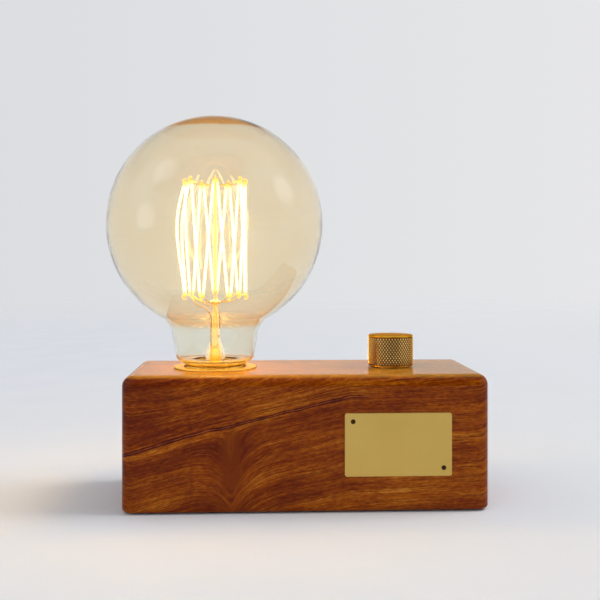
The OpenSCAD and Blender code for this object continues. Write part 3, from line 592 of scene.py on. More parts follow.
# Each streak's waves a millimetre along the grain and across the rings, its seed, detail and roughness
STREAKS = {
    "broad": (0.008, 0.065, 0.0, 2, 0.5),
    "bands": (0.012, 0.27, 3.0, 3, 0.55),
    "lines": (0.010, 0.8, 7.0, 2, 0.5),
    "fibres": (0.05, 2.7, 11.0, 3, 0.65),
    "flecks": (0.45, 1.6, 23.0, 2, 0.6),
    "pores": (0.22, 4.2, 17.0, 1, 0.5),
}
TONE_MIDDLE = 0.45  # the wood's tone from dark to pale, and how far each streak sways it
TONE_SWAY = {"broad": 0.17, "bands": 0.2, "glow": 0.14, "fibres": 0.22, "flecks": 0.16}
WOOD_TONES = [(0.10, "5e1c00"), (0.32, "7a3100"), (0.50, "8e4202"), (0.70, "a65806"), (0.92, "c27a26")]
LINES_DARK = 0.62
SEAM_MIDDLE_PALE = 0.5
LIPS_DARK = 0.92


def grain_level(s, x, y, z):
    """The height of the grain line through a point, and how far into the crotch the point is."""
    right = s.maths("MAXIMUM", s.minus(x, RIGHT_X), 0.0)
    left = s.maths("MINIMUM", s.minus(x, LEFT_X), 0.0)
    left_rise = s.ease(z, 24, 46, LEFT_RISE_LOW - GRAIN_RISE, LEFT_RISE_HIGH - GRAIN_RISE)
    rise = s.total(s.product(x, GRAIN_RISE), s.product(right, RIGHT_RISE - GRAIN_RISE),
                   s.product(left, left_rise))
    aside = s.minus(x, CROTCH_X)
    aside = s.maths("SQRT", s.total(s.product(aside, aside), CROTCH_ROUND))
    near = s.maths("EXPONENT", s.product(aside, -1 / CROTCH_REACH))
    low = s.product(s.ease(z, 37, 22), s.ease(y, 10, -16))
    return s.minus(z, rise), s.product(near, low)


def seam_lines(s, here, x, y, level):
    """A healed split that runs up to the right on the front: its two dark lips, and its paler middle."""
    wobble = s.span(s.noise(s.stretch(here, 0.12, 0.1, 0.1), 3, 0.6), 0.2, 0.8, -0.5, 0.5)
    off = s.maths("ABSOLUTE", s.total(level, wobble, -SEAM_LEVEL))
    width = s.span(s.noise(s.join(s.product(x, 0.13), 0.0, 0.0), 3, 0.6), 0.36, 0.64, 0.16, 0.5)
    lips = s.span(s.maths("DIVIDE", s.apart(off, SEAM_HALF), width), 0.6, 1.2, 1, 0)
    middle_line = s.span(off, 0.1, SEAM_HALF, 1, 0)
    shown = s.product(s.ease(x, 30, 18), s.span(y, -24, -30))
    return s.product(lips, shown), s.product(middle_line, shown)


def crotch_heart(s, x, y, z):
    """The smooth dark strip up the middle of the crotch, on the front alone."""
    strip = s.ease(s.apart(x, CROTCH_X), HEART_R, HEART_FADED_R, 1, 0)
    return s.product(strip, s.ease(z, 38, 30), s.ease(z, 7, 14), s.span(y, 0, -20))


def wood_streaks(s, here, x, y, level):
    """The streaks round the tree's middle, by name, and a soft glow that isn't tied to the rings."""
    across = s.minus(y, PITH_Y)
    up = s.minus(level, PITH_Z)
    ring = s.maths("SQRT", s.total(s.product(across, across), s.product(up, up)))
    streaks = {"glow": s.noise(s.stretch(here, 0.035, 0.03, 0.05), 2, 0.5)}
    for name, (along, through_rings, seed, detail, roughness) in STREAKS.items():
        vector = s.join(s.product(x, along), s.product(ring, through_rings),
                        s.total(s.product(y, along), seed))
        streaks[name] = s.noise(vector, detail, roughness)
    return streaks


def wood():
    """Oiled hardwood: long thin dark lines over golden and reddish bands, round a smooth dark crotch."""
    s = Shader("oiled_wood")
    here = s.place()
    x, y, z = s.parts(here)
    straight, crotch = grain_level(s, x, y, z)
    wander = s.noise(s.stretch(here, 0.014, 0.02, 0.022), 1, 0.5)
    ripple = s.noise(s.stretch(here, 0.05, 0.05, 0.09), 2, 0.5)
    level = s.total(straight, s.product(crotch, CROTCH_DROP),
                    s.span(wander, 0.2, 0.8, -1.8, 1.8), s.span(ripple, 0.2, 0.8, -0.35, 0.35))
    streaks = wood_streaks(s, here, x, y, level)

    darker_end = s.product(s.ease(x, -15, -65), s.ease(z, 22, 46), -DARK_END)
    tone = s.total(*[s.sway(streaks[name], reach) for name, reach in TONE_SWAY.items()],
                   darker_end, TONE_MIDDLE)
    shade = s.ramp(tone, WOOD_TONES)

    thin = s.span(s.apart(streaks["lines"], 0.5), 0.006, 0.03, 1, 0)
    thick = s.span(streaks["lines"], 0.60, 0.68)
    in_dark_bands = s.span(streaks["bands"], 0.40, 0.60, 0.1, 1)
    shade = s.blend(s.product(s.maths("MAXIMUM", thin, thick), in_dark_bands, LINES_DARK), shade, "4a1300")
    dark_pores = s.span(streaks["pores"], 0.58, 0.70, 0, 0.5)
    shade = s.blend(dark_pores, shade, "401400")
    shade = s.blend(s.product(crotch_heart(s, x, y, z), HEART_DARK), shade, "702c00")

    lips, seam_middle = seam_lines(s, here, x, y, straight)
    shade = s.blend(s.product(seam_middle, SEAM_MIDDLE_PALE), shade, "9a4a28")
    shade = s.blend(s.product(lips, LIPS_DARK), shade, "430c04")
    # Painted light: the top and its upper edge are painted paler and yellower, standing in for the bulb's
    # glow and the top's reflection
    shade = s.blend(s.ease(z, TOP_Z - 1.6, TOP_Z - 0.2, 0, TOP_PAINTED_GLOW), shade, "d8a840")

    rough = s.spread(streaks["fibres"], 0.42, 0.56)
    height = s.total(s.product(streaks["fibres"], 0.3), s.product(dark_pores, -0.6), s.product(lips, -1.2))
    return s.solid(Base_Color=shade, Roughness=rough, Specular_IOR_Level=0.0, Coat_Weight=0.75,
                   Coat_Roughness=0.15, Coat_IOR=1.25, Normal=s.bump(height, 0.04))


# --- Glass and filament ---

# Heights where the amber coating starts, is full, and loses its darker edge
AMBER_FROM_Z = 74.6
AMBER_FULL_Z = 76.4
AMBER_EDGE_Z = 80
AMBER_EDGE_DARK = 0.45
# A painted reflection at the crown, a deeper amber that is strongest at the front: heights where it starts
# and is full, and how far it reaches to the back
CROWN_FROM_Z = 160.4
CROWN_FULL_Z = 161.4
CROWN_BACK_Y = 8
CROWN_FRONT_Y = -8
CROWN_AT_BACK = 0.12
HAZE_FROM = 0.982  # share of the glass that is clean
HAZE_ROUGHNESS = 0.5
SHADOW_TINT = (0.96, 0.93, 0.88, 1)

WIRE_PAINTED_GLOW = 1.6  # strengths of the painted glow on the support wires and the mount, and of the filament's light
MOUNT_PAINTED_GLOW = 0.38
FILAMENT_GLOW = 8.0


def let_lamps_through(s, glass):
    """Rays from lamps pass straight through, tinted as the glass is."""
    passing = s.put("BsdfTransparent", {"Color": SHADOW_TINT})
    return s.mix(s.node("LightPath").outputs["Is Shadow Ray"], glass, passing)


def amber_glass():
    """Clear glass with a thin amber coating, a painted reflection at the crown, and a fine haze that
    spreads the filament's glow.
    """
    s = Shader("amber_glass")
    here = s.place()
    _, y, z = s.parts(here)
    cloud = s.noise(here, 3, 0.5, scale=0.05)
    amber = s.blend(s.spread(cloud), "fff7e4", "fef3dc")
    # Painted reflection: a deeper amber at the crown, faded towards the back, stands in for the crown's
    # reflections
    crown = s.product(s.ease(s.total(z, s.sway(cloud, 0.4)), CROWN_FROM_Z, CROWN_FULL_Z),
                      s.ease(y, CROWN_BACK_Y, CROWN_FRONT_Y, CROWN_AT_BACK, 1))
    edge = s.ease(z, AMBER_EDGE_Z, AMBER_FULL_Z, 0, AMBER_EDGE_DARK)
    coated = s.blend(edge, s.blend(crown, amber, "f0b04c"), "f6cf98")
    tint = s.blend(s.ease(z, AMBER_FROM_Z, AMBER_FULL_Z), "fcfaee", coated)
    specks = s.node("TexWhiteNoise", {"Vector": s.stretch(here, 9, 9, 9)}, noise_dimensions="3D")
    haze = s.span(specks.outputs["Value"], HAZE_FROM, HAZE_FROM + 0.01, 0.0, HAZE_ROUGHNESS)
    ripple = s.noise(here, 2, 0.4, scale=0.06)
    glass = s.surface(Base_Color=tint, Roughness=haze, IOR=1.45, Transmission_Weight=1.0,
                      Normal=s.bump(ripple, 0.15))
    return s.done(let_lamps_through(s, glass))


def support_metal():
    """Nickel wire with a painted glow: emission that stands in for the filament's light on it, strongest
    where it holds the strands.
    """
    s = Shader("support_wire")
    here = s.place()
    x, y, z = s.parts(here)
    marks = s.noise(here, 5, 0.6, scale=4)
    shade = s.blend(s.span(marks, 0.35, 0.7), "e0bf80", "b08c4e")
    # Painted glow: the wires emit, most near the strands, in place of the filament's light falling on them
    near_strands = s.ease(s.from_axis(x, y, HOLDER_X), CAGE_R - 5, CAGE_R - 0.5, 0.15, 1)
    over_button = s.ease(z, BUTTON_Z - 4, BUTTON_Z)
    return s.solid(Base_Color=shade, Metallic=1.0, Roughness=s.spread(marks, 0.25, 0.4),
                   Emission_Color="ffc24e",
                   Emission_Strength=s.product(near_strands, over_button, WIRE_PAINTED_GLOW),
                   Normal=s.bump(marks, 0.004))


def clear_glass():
    """The glass mount, with a painted glow: emission that stands in for the filament's light piped down it
    to the cap.
    """
    s = Shader("clear_glass")
    here = s.place()
    z = s.parts(here)[2]
    seeds = s.noise(here, 3, 0.5, scale=0.9)
    tint = s.blend(s.span(seeds, 0.4, 0.7), "ffeebc", "ffd87c")
    # Painted glow: emission on the mount, strongest low in the neck and fading above the button, stands in
    # for the filament's light
    mount_painted_glow = s.product(s.span(seeds, 0.35, 0.7, 0.25, 1.3), s.ease(z, TOP_Z - 8, RIM_Z + 3),
                    s.ease(z, BUTTON_Z + 6, BUTTON_Z - 3, 0.25, 1), MOUNT_PAINTED_GLOW)
    glass = s.surface(Base_Color=tint, Roughness=0.04, IOR=1.5, Transmission_Weight=1.0,
                      Emission_Color="ffb42c", Emission_Strength=mount_painted_glow, Normal=s.bump(seeds, 0.18))
    return s.done(let_lamps_through(s, glass))


def hot_filament():
    """White hot along the strands, cooler where the hooks take the heat away."""
    s = Shader("hot_filament")
    here = s.place()
    z = s.parts(here)[2]
    from_hooks = s.maths("MINIMUM", s.minus(CAGE_TOP_Z, z), s.minus(z, CAGE_LOW_Z))
    heat = s.ease(from_hooks, 0.2, 3.5, 0.25, 1)
    flicker = s.spread(s.noise(here, 2, 0.5, scale=0.25), 0.85, 1.1)
    glow = s.ramp(heat, [(0.0, "ff9a2a"), (0.6, "ffc860"), (1.0, "ffdf84")])
    return s.solid(Base_Color="2b2520", Roughness=0.6, Emission_Color=glow,
                   Emission_Strength=s.product(heat, flicker, FILAMENT_GLOW))


# Base and worn colour, roughness and tool marks a millimetre on each axis; then what metal() may take more
METALS = {
    "zinc_steel": ("b9bcc0", "8d9095", 0.3, (2, 2, 9)),
    "polished_brass": ("fcd970", "ecba4c", 0.22, (0.6, 0.6, 14), 0.002, 0.12, 0.6, "f0c058"),
    "cap_brass": ("fcd86c", "e8b64a", 0.24, (0.5, 0.5, 10), 0.003, 0.2, 0.65, "f0c058"),
    "dark_steel": ("5c5d60", "3f4043", 0.4, (5, 5, 5)),
    "plated_steel": ("b3b6b8", "93968f", 0.28, (3, 3, 10)),
    "copper_wire": ("c9733c", "9c5226", 0.25, (1, 1, 12)),
    "aluminium_fins": ("c9cccf", "a6a9ad", 0.35, (12, 1, 1)),
    "dark_pins": ("4b3520", "2d1f12", 0.4, (6, 6, 6)),
}
# Base and darker colour, roughness, grain a millimetre, the grain's depth, and for some a clear coat
MOULDINGS = {
    "fibreboard": ("4a3524", "33231a", 0.8, 1.4, 0.03),
    "black_rubber": ("1b1b1c", "111112", 0.75, 3.0, 0.02),
    "white_porcelain": ("ece8de", "dedacd", 0.25, 1.5, 0.004, 0.5),
    "black_glass": ("141312", "1e1c1a", 0.12, 1.2, 0.004, 0.6),
    "cement": ("cdbfa4", "b3a488", 0.9, 3.5, 0.05),
    "phenolic": ("5e3d22", "45291a", 0.5, 2.5, 0.02),
    "green_laminate": ("1f5a36", "17472b", 0.35, 2.0, 0.01, 0.4),
    "ferrite": ("4c4e52", "3c3e41", 0.7, 3.0, 0.02),
    "yellow_film": ("c9a02a", "b58c1f", 0.35, 1.6, 0.006, 0.3),
    "black_resin": ("1d1d1f", "131315", 0.5, 3.0, 0.01),
    "green_plastic": ("2f7350", "255e41", 0.4, 2.0, 0.01),
    "brown_insulation": ("6e3f1e", "593117", 0.4, 2.0, 0.008),
    "blue_insulation": ("2c52a3", "234388", 0.4, 2.0, 0.008),
    "black_nylon": ("1e1e1f", "151516", 0.5, 2.5, 0.015),
}
SHADERS = {
    "oiled_wood": wood(),
    "amber_glass": amber_glass(),
    "clear_glass": clear_glass(),
    "support_wire": support_metal(),
    "hot_filament": hot_filament(),
    "plate_brass": plate_metal(),
    **{name: metal(name, *look) for name, look in METALS.items()},
    **{name: moulded(name, *look) for name, look in MOULDINGS.items()},
}
BRASS_PLATED = ("dimmer_washer", "dimmer_nut")  # steel, plated to match the knob above them


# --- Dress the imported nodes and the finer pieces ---

def dress_packed_nodes():
    for part in frame["record"]["subparts"]:
        look = "cap_brass" if part["node"] in BRASS_PLATED else part["material_slot"]
        for slot in frame["nodes"][part["node"]].material_slots:
            slot.material = SHADERS[look]


def stand_for(obj, node, body, slot):
    """Gives a finer piece its material and its body, in place of the node that it stands for."""
    obj.data.materials.append(SHADERS[slot])
    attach(obj, body)
    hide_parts(node)


# --- Bulb ---

def on_wall(inset):
    """The glass wall's outline, from the crown down to the foot of the neck, as radii and heights."""
    foot = Vector((NECK_R, NECK_R_Z))
    up = Vector((sin(NECK_LEAN), cos(NECK_LEAN)))
    out = Vector((cos(NECK_LEAN), -sin(NECK_LEAN)))
    globe = Vector((0, GLOBE_Z))
    start = foot + NECK_FILLET * out - globe
    reach = (GLOBE_R + NECK_FILLET) ** 2
    run = -start.dot(up) - sqrt(start.dot(up) ** 2 - start.dot(start) + reach)
    hollow = globe + start + run * up
    turn = degrees(atan2(hollow.y - GLOBE_Z, hollow.x))
    lean = degrees(NECK_LEAN)
    rise = NECK_EDGE + GLASS_FOOT_Z - foot.y
    edge_r = NECK_R + rise * tan(NECK_LEAN) - NECK_EDGE / cos(NECK_LEAN)
    edge = (edge_r, GLASS_FOOT_Z + NECK_EDGE)
    return (arc(globe, GLOBE_R - inset, 90, turn, 90)
            + arc(hollow, NECK_FILLET + inset, turn + 180, 180 - lean, 16)
            + arc(edge, NECK_EDGE - inset, -lean, -90, 10))


def build_glass():
    seal = [(SEAL_R, GLASS_FOOT_Z), (SEAL_R, SEAL_Z), (SEAL_R - GLASS_T, SEAL_Z),
            (SEAL_R - GLASS_T, GLASS_FOOT_Z + GLASS_T)]
    profile = on_wall(0) + seal + on_wall(GLASS_T)[::-1]
    globe = lathe("globe_glass", profile, HOLDER_X, 160, sharp_above=50, closed=False)
    stand_for(globe, "bulb_glass", "bulb", "amber_glass")


def build_cap():
    """The threaded sheet cap with its flared rim."""
    around, rows_a_turn, length = 108, 28, RIM_Z - CAP_LOW_Z
    mean = THREAD_R - THREAD_DEPTH / 2
    rows = round(length / PITCH * rows_a_turn)
    outline = [(0, mean - 1), (1.6, mean), (length - 1.9, mean), (length - 0.9, mean + 1.2),
               (length - 0.25, mean + 1.25), (length, mean + 1.05)]
    thread = [(0, 0), (2, 1), (length - 2.9, 1), (length - 1.9, 0), (length, 0)]
    verts = []
    for row in range(rows + 1):
        up = length * row / rows
        radius = between(up, outline)
        swing = THREAD_DEPTH / 2 * between(up, thread)
        z = CAP_LOW_Z + up
        for a in turns(around):
            verts.append(around_z(HOLDER_X, radius + swing * cos(TAU * z / PITCH - a), z, a))
    for z in (RIM_Z, CAP_LOW_Z):
        verts += [around_z(HOLDER_X, CAP_BORE_R, z, a) for a in turns(around)]
    cap = make_object("screw_cap", verts, ring_faces(rows + 3, around, capped=False), sharp_above=50)
    stand_for(cap, "bulb_cap", "bulb", "cap_brass")


def build_stem():
    """The glass mount: flared skirt, waist, tube, pinched press, rod and top button."""
    flare = SEAL_R - GLASS_T - 0.05
    bell = RIM_Z + 7.4
    outside = through([
        (flare, SEAL_Z), (flare - 0.4, SEAL_Z + 1.2), (6.4, SEAL_Z + 3), (5, RIM_Z - 3), (4.5, RIM_Z + 1),
        (4.25, RIM_Z + 3.4), (3.8, RIM_Z + 5.2), (2.4, bell + 1.4), (2.15, bell + 3), (2.3, bell + 4.4),
        (1.9, bell + 7), (1.35, BUTTON_Z - 4.4), (1.25, BUTTON_Z - 1.4), (2.1, BUTTON_Z - 0.7),
        (BUTTON_R - 0.05, BUTTON_Z), (2.1, BUTTON_Z + 0.8), (1.0, BUTTON_Z + 1.5), (0.85, BUTTON_Z + 8),
        (0.85, CAGE_TOP_Z - 4), (1.5, CAGE_TOP_Z - 3), (1.85, CAGE_TOP_Z - 2), (1.5, CAGE_TOP_Z - 1),
        (0.7, CAGE_TOP_Z - 0.65), (0, CAGE_TOP_Z - 0.6),
    ], 5)
    inside = through([
        (0, bell - 0.4), (1.6, bell - 0.9), (3, RIM_Z + 5), (3.5, RIM_Z + 1), (4.1, RIM_Z - 3),
        (5.5, SEAL_Z + 2.6), (flare - 1.2, SEAL_Z),
    ], 5)
    profile = [(max(r, 0.0), z) for r, z in outside + inside]
    stem = lathe("stem_glass", profile, HOLDER_X, 48, sharp_above=60)
    stand_for(stem, "glass_stem", "bulb", "clear_glass")


def cage(angle, r, z):
    """A point round the bulb's axis; the angle in degrees."""
    a = radians(angle)
    return Vector((HOLDER_X + r * cos(a), r * sin(a), z))


def hook_angle(i):
    return HOOK_START + i * HOOK_STEP


LEAD_A = HOOK_START - LEAD_TURN
LEAD_B = hook_angle(HOOKS - 1) + LEAD_TURN
LEAD_MID = HOOK_START - HOOK_STEP / 2


def half_turn(angle, z, up):
    """The turn over an upper hook (up is 1) or under a lower one (up is -1)."""
    a = radians(angle)
    sideways = Vector((-sin(a), cos(a), 0))
    centre = cage(angle, CAGE_R, z)
    return [centre + TURN_R * (cos(radians(b)) * sideways
                               + up * sin(radians(b)) * Vector((0, 0, 1)))
            for b in range(180, -1, -30)]


def strand(p, q, angle):
    """The points between two ends of a strand, which bows out on the slack side."""
    a = radians(angle)
    outwards = Vector((cos(a), sin(a), 0))
    bow = STRAND_BOW * max(0, cos(radians(angle - BOW_SIDE))) ** 8
    points = []
    for k in range(1, 10):
        t = k / 10
        up = t if q.z > p.z else 1 - t
        points.append(p.lerp(q, t) + bow * sin(pi * up ** 1.35) * outwards)
    return points


def filament_path():
    """From one lead-in wire to the other, up and down the cage."""
    path = [cage(LEAD_A, CAGE_R, LOWER_Z)]
    for i in range(HOOKS):
        top = half_turn(hook_angle(i), UPPER_Z, 1)
        if i < HOOKS - 1:
            low = half_turn(hook_angle(i + 0.5), LOWER_Z, -1)
        else:
            low = [cage(LEAD_B, CAGE_R, LOWER_Z)]
        path += strand(path[-1], top[0], hook_angle(i) - HOOK_STEP / 4) + top
        path += strand(path[-1], low[0], hook_angle(i) + HOOK_STEP / 4) + low
    return path


def build_filament():
    coil = coiled(filament_path(), COIL_R, COIL_PITCH, COIL_STEPS)
    stand_for(wires("filament_coil", [coil], COIL_WIRE_R, 5), "filament", "bulb", "hot_filament")


def hook_wire(angle, root, z, up):
    """A support wire from its root out to the cage, where it curls over or under the strand."""
    curl = [(CAGE_R + 0.6, z), (CAGE_R + 1.15, z + up * 0.6), (CAGE_R + 0.9, z + up * 1.5),
            (CAGE_R + 0.1, z + up * 2.0), (CAGE_R - 0.7, z + up * 1.7)]
    return through([cage(angle, r, height) for r, height in root + curl], 6)


def lead_wire(angle, side):
    """A lead-in wire, up one side of the mount and out to its end of the filament."""
    mid = radians(LEAD_MID)
    sideways = Vector((side * LEAD_X * sin(mid), -side * LEAD_X * cos(mid), 0))
    inner = [Vector((HOLDER_X, 0, z)) + sideways
             for z in (SEAL_Z - 3, RIM_Z - 2, RIM_Z + 6, RIM_Z + 14, BUTTON_Z - 6)]
    outer = [cage(LEAD_MID - side * 52, 4.6, BUTTON_Z - 2.6), cage(angle - side * 16, 8.5, BUTTON_Z - 1.2),
             cage(angle, CAGE_R - 1.2, LOWER_Z - 1.7), cage(angle, CAGE_R, LOWER_Z - 0.8),
             cage(angle, CAGE_R, LOWER_Z - 0.05)]
    return through(inner + outer, 5)


def build_supports():
    upper_root = [(1.7, CAGE_TOP_Z - 2), (6, CAGE_TOP_Z - 1.6), (CAGE_R - 2, UPPER_Z)]
    lower_root = [(BUTTON_R - 0.2, BUTTON_Z), (7, BUTTON_Z + 0.5), (CAGE_R - 2, LOWER_Z - 0.2)]
    upper = [hook_wire(hook_angle(i), upper_root, UPPER_Z, 1) for i in range(HOOKS)]
    lower = [hook_wire(hook_angle(i + 0.5), lower_root, LOWER_Z, -1) for i in range(HOOKS - 1)]
    leads = [lead_wire(LEAD_B, 1), lead_wire(LEAD_A, -1)]
    stand_for(wires("upper_support_wires", upper, HOOK_WIRE_R), "upper_hooks", "bulb", "support_wire")
    stand_for(wires("lower_support_wires", lower, HOOK_WIRE_R), "lower_hooks", "bulb", "support_wire")
    stand_for(wires("lead_wires", leads, LEAD_R), "lead_in_wires", "bulb", "support_wire")


# --- Trim ring, knob and plate ---

def build_ring():
    profile = soften([
        (RING_HOLE_R, TOP_Z), (SKIRT_IN_R, TOP_Z), (SKIRT_IN_R, RING_LOW.z), (SKIRT_R, RING_LOW.z),
        (SKIRT_R, TOP_Z), (FLANGE_R, TOP_Z), (FLANGE_R, RING_HIGH.z), (RING_HOLE_R, RING_HIGH.z),
    ], RING_EDGE, 5)
    ring = lathe("brass_ring", profile, HOLDER_X, 144, sharp_above=50)
    stand_for(ring, "trim_ring", "base", "polished_brass")


def knob_point(r, z, angle):
    return around_z(KNOB_X, r, z, angle)


def knurl_point(column, row, height):
    """A point of the knurl, from 0 in the grooves to 1 on the flat tops."""
    z = KNURL_LOW_Z + (KNURL_HIGH_Z - KNURL_LOW_Z) * row / KNURL_ROWS
    return knob_point(KNOB_R - KNURL_DEPTH * (1 - height), z, pi * column / KNURLS)


def knurl_faces():
    """Rows of small flat-topped pyramids, cut by two sets of crossing grooves."""
    faces = []
    for row in range(KNURL_ROWS + 1):
        at_end = row in (0, KNURL_ROWS)
        for column in range(row % 2, 2 * KNURLS, 2):
            ends = [(column - 1, row), (column, row - 1), (column + 1, row), (column, row + 1)]
            flat = [(column + KNURL_FLAT * (c - column), row + KNURL_FLAT * (r - row)) for c, r in ends]
            for k in range(4):
                foot = [ends[k], ends[(k + 1) % 4]]
                if any(r < 0 or r > KNURL_ROWS for _, r in foot):
                    continue
                upper = [(column, row, 0)] if at_end else [(*flat[(k + 1) % 4], 1), (*flat[k], 1)]
                faces.append([knurl_point(c, r, 0) for c, r in foot] + [knurl_point(*p) for p in upper])
            if not at_end:
                faces.append([knurl_point(c, r, 1) for c, r in flat])
    return faces


def build_knob():
    top, foot = KNOB_HIGH.z, KNOB_LOW.z
    over = soften([
        (VALLEY_R, KNURL_HIGH_Z), (VALLEY_R, KNURL_HIGH_Z + 0.08), (RIM_R, KNURL_HIGH_Z + 0.2),
        (RIM_R, top - 0.4), (KNOB_R - 0.4, top), (0, top),
    ], 0.12, 3, closed=False)
    under = soften([
        (VALLEY_R, KNURL_LOW_Z), (VALLEY_R, KNURL_LOW_Z - 0.08), (FOOT_R, KNURL_LOW_Z - 0.2),
        (FOOT_R, foot + 0.2), (KNOB_R - 0.25, foot), (RECESS_R, foot), (RECESS_R, RECESS_TOP_Z),
        (SHAFT_HOLE_R, RECESS_TOP_Z), (SHAFT_HOLE_R, SHAFT_HOLE_TOP_Z), (0, SHAFT_HOLE_TOP_Z),
    ], 0.1, 2, closed=False)
    faces = knurl_faces()
    for profile in (over, under):
        faces += turned_faces(profile, 2 * KNURLS, knob_point)
    knob = welded("knurled_knob", faces, sharp_above=20)
    screw_z = middle("knob_set_screw").z
    screw_hole = drill("set_screw_drill", SET_SCREW_HOLE_R, (KNOB_X, 0, screw_z), KNOB_R + 1)
    boolean_cut(knob, [screw_hole], sharp_above=20)
    stand_for(knob, "knob", "knob_and_shaft", "polished_brass")
    knob.data.materials[0] = knurled_brass()


# The two pins stand at the plate's upper left and lower right corners
PIN_PLACES = [(PINS_LOW.x + PIN_HEAD_R, PINS_HIGH.z - PIN_HEAD_R),
              (PINS_HIGH.x - PIN_HEAD_R, PINS_LOW.z + PIN_HEAD_R)]


def plate_outline(inset, y):
    """The plate's outline with its corners rounded, inset all round, as points at depth y."""
    centre = (PLATE_LOW + PLATE_HIGH) / 2
    half_w, half_h = (PLATE_HIGH.x - PLATE_LOW.x) / 2, (PLATE_HIGH.z - PLATE_LOW.z) / 2
    points = []
    for turn, (sx, sz) in enumerate(((1, 1), (-1, 1), (-1, -1), (1, -1))):
        corner = (centre.x + sx * (half_w - PLATE_CORNER), centre.z + sz * (half_h - PLATE_CORNER))
        points += [(x, y, z) for x, z in arc(corner, PLATE_CORNER - inset, 90 * turn, 90 * turn + 90, 8)]
    return points


def build_plate():
    """A bare plate with a fine bevel all round and two holes for its pins."""
    front, back = PLATE_LOW.y, PLATE_HIGH.y
    layers = [plate_outline(inset, y) for inset, y in (
        (0, back), (0, front + PLATE_BEVEL), (PLATE_BEVEL * 0.3, front + PLATE_BEVEL * 0.3),
        (PLATE_BEVEL, front),
    )]
    faces = ring_faces(len(layers), len(layers[0]), capped=True)
    plate = make_object("front_plate", sum(layers, []), faces, sharp_above=30)
    drills = [drill(f"pin_drill_{i}", PIN_HOLE_R, (x, front - 1, z), 3)
              for i, (x, z) in enumerate(PIN_PLACES)]
    boolean_cut(plate, drills, sharp_above=18)
    stand_for(plate, "nameplate", "base", "plate_brass")


def build_pins():
    """Domed heads on the plate's front, with pointed shanks into the wood."""
    profile = [(0, -0.5), (0.35, -0.48), (0.7, -0.36), (0.93, -0.16), (PIN_HEAD_R, 0), (PIN_R, 0),
               (PIN_R, 6.3), (0, 7.3)]
    faces = []
    for x, z in PIN_PLACES:
        faces += turned_faces(profile, HOLE_SIDES, lambda r, along, angle: (
            x + r * cos(angle), PLATE_LOW.y + along, z + r * sin(angle)))
    pins = welded("plate_pins", faces, sharp_above=40)
    stand_for(pins, "nameplate_pins", "base", "dark_pins")


build_glass()
build_cap()
build_stem()
build_filament()
build_supports()
build_ring()
build_knob()
build_plate()
build_pins()
dress_packed_nodes()


# --- Studio ---

FLOOR_REACH = 6000
FLOOR_SIDES = 64
FLOOR_FADES_FROM = 500
FLOOR_FADES_TO = 2400

AMBIENT = 0.58
STUDIO_DARK = 0.06  # how bright gloss shows the dark gap in front of the lamp
DARK_FROM = radians(-8)  # the gap's sides, round from straight in front to the right
DARK_TO = radians(44)
DARK_FADE = radians(16)  # how far to each side it fades
SOFT_BOXES = ((-0.955, -0.28, 0.09), (-0.66, -0.23, 0.715), (0.89, -0.04, 0.45))  # their directions
SOFT_BOX_WIDTH = radians(15)  # from a soft box's middle to where it has faded out
SOFT_BOX_GAIN = 2.2
BEHIND_ABOVE = 0.4  # how bright gloss shows the studio high up behind the lamp

KEY_LAMP = ((900, 40, 1000), 26, 1.28)  # direction, width in degrees and strength
FILL_LAMP = ((-300, -900, 500), 60, 0.42)
FILAMENT_WATTS = 0.125
FILAMENT_COLOUR = "ffcb70"

# The photograph's view: focal length in pixels of its 600-pixel frame, and the row of its horizon
FRAME_PIXELS = 600
FOCAL_PIXELS = 930
HORIZON_ROW = 259.44
CAMERA_PLACE = (-19.9, -413, 104.3)
CAMERA_YAW = radians(2.56)


def studio_floor():
    """A pale floor that fades out far from the lamp, so that the backdrop meets it without a line."""
    rim = [around_z(0, FLOOR_REACH, 0, a) for a in turns(FLOOR_SIDES)]
    faces = [(0, 1 + k, 1 + (k + 1) % FLOOR_SIDES) for k in range(FLOOR_SIDES)]
    floor = make_object("studio_floor", [(0, 0, 0)] + rim, faces, sharp_above=35)
    s = Shader("studio_floor")
    here = s.place()
    paper = s.noise(here, 3, 0.5, scale=0.02)
    # Painted light: the floor is painted paler towards the right, where the key lamp's light falls
    shade = s.blend(s.span(s.parts(here)[0], -250, 350), "e6e9ee", "eff1f3")
    shade = s.blend(s.spread(paper, 0, 0.3), shade, "f2f2f5")
    matt = s.put("BsdfDiffuse", {"Color": shade})
    clear = s.put("BsdfTransparent")
    far = s.ease(s.length(here), FLOOR_FADES_FROM, FLOOR_FADES_TO)
    floor.data.materials.append(s.done(s.mix(far, matt, clear)))


def gloss_level(s, x, y, z):
    """How bright gloss shows the studio: soft boxes, the dark gap, and dimmer high up behind."""
    around = s.maths("ARCTAN2", x, s.product(y, -1.0))
    from_left = s.ease(around, DARK_FROM - DARK_FADE, DARK_FROM + DARK_FADE)
    to_right = s.ease(around, DARK_TO + DARK_FADE, DARK_TO - DARK_FADE)
    under_ceiling = s.ease(z, 0.92, 0.7)
    dark = s.product(from_left, to_right, under_ceiling)
    behind_above = s.product(s.ease(y, 0.1, 0.4), s.ease(z, 0.3, 0.55))
    paper = s.product(s.span(dark, 0, 1, 1, STUDIO_DARK), s.span(behind_above, 0, 1, 1, BEHIND_ABOVE))
    towards = s.join(x, y, z)
    faded, full = cos(SOFT_BOX_WIDTH), cos(SOFT_BOX_WIDTH / 3)
    boxes = s.total(*[s.ease(s.dot(towards, box), faded, full) for box in SOFT_BOXES])
    return s.total(paper, s.product(boxes, SOFT_BOX_GAIN))


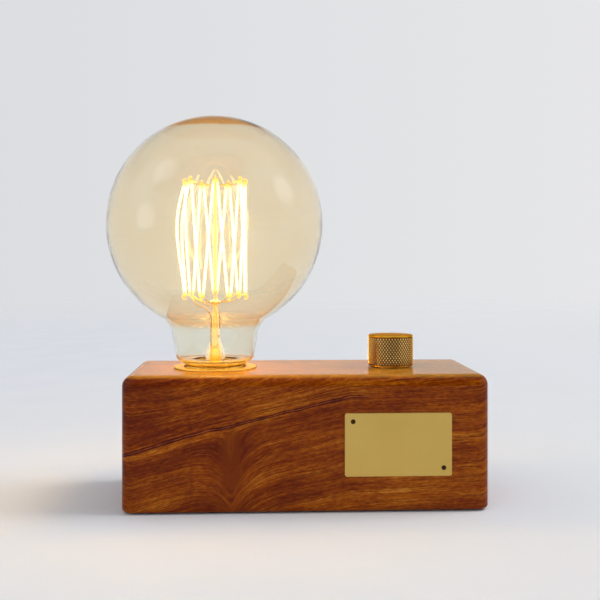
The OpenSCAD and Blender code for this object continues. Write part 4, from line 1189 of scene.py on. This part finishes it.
def studio_world():
    """Pale paper all round, a little brighter on the right; gloss also shows the lights and the gap."""
    world = bpy.data.worlds.new("studio")
    bpy.context.scene.world = world
    s = Shader(world)
    x, y, z = s.parts(s.node("TexCoord").outputs["Generated"])
    paper = s.ramp(s.span(x, -0.35, 0.4), [(0.0, "dadcdf"), (1.0, "e7e7e9")])
    path = s.node("LightPath").outputs
    seen = s.maths("MAXIMUM", path["Is Camera Ray"], path["Is Transmission Ray"])
    light = s.put("Background", {"Color": "eceef2", "Strength": AMBIENT})
    backdrop = s.put("Background", {"Color": paper, "Strength": 1.0})
    gloss = s.put("Background", {"Color": paper, "Strength": gloss_level(s, x, y, z)})
    lighting = s.mix(path["Is Glossy Ray"], light, gloss)
    s.node("OutputWorld", {"Surface": s.mix(seen, lighting, backdrop)})


def lamp(name, kind, place):
    light = bpy.data.lights.new(name, kind)
    light.cycles.use_multiple_importance_sampling = False
    obj = add_object(name, light)
    obj.location = Vector(place) * MM
    obj.visible_transmission = False
    return obj


def sun_lamp(name, place, width, strength):
    """A soft light from far away in the direction of place, width degrees wide."""
    obj = lamp(name, "SUN", place)
    obj.data.angle = radians(width)
    obj.data.energy = strength
    obj.rotation_euler = (-Vector(place)).to_track_quat("-Z", "Y").to_euler()
    obj.visible_glossy = False


def bulb_light():
    """The light of the filament, spread over its cage, so that the wood and the floor catch it."""
    obj = lamp("filament_light", "POINT", (HOLDER_X, 0, (CAGE_LOW_Z + CAGE_TOP_Z) / 2))
    obj.data.energy = FILAMENT_WATTS
    obj.data.color = colour(FILAMENT_COLOUR)[:3]
    obj.data.shadow_soft_size = 13 * MM
    obj.visible_camera = False


def camera():
    lens = bpy.data.cameras.new("camera")
    lens.sensor_width = 36
    lens.lens = FOCAL_PIXELS / FRAME_PIXELS * lens.sensor_width
    lens.shift_y = (HORIZON_ROW - FRAME_PIXELS / 2) / FRAME_PIXELS
    lens.clip_start = 0.01
    obj = add_object("camera", lens)
    obj.location = Vector(CAMERA_PLACE) * MM
    obj.rotation_euler = (pi / 2, 0, -CAMERA_YAW)
    bpy.context.scene.camera = obj


studio_floor()
studio_world()
sun_lamp("key_lamp", *KEY_LAMP)
sun_lamp("fill_lamp", *FILL_LAMP)
bulb_light()
camera()
bpy.context.scene.view_settings.view_transform = "Standard"
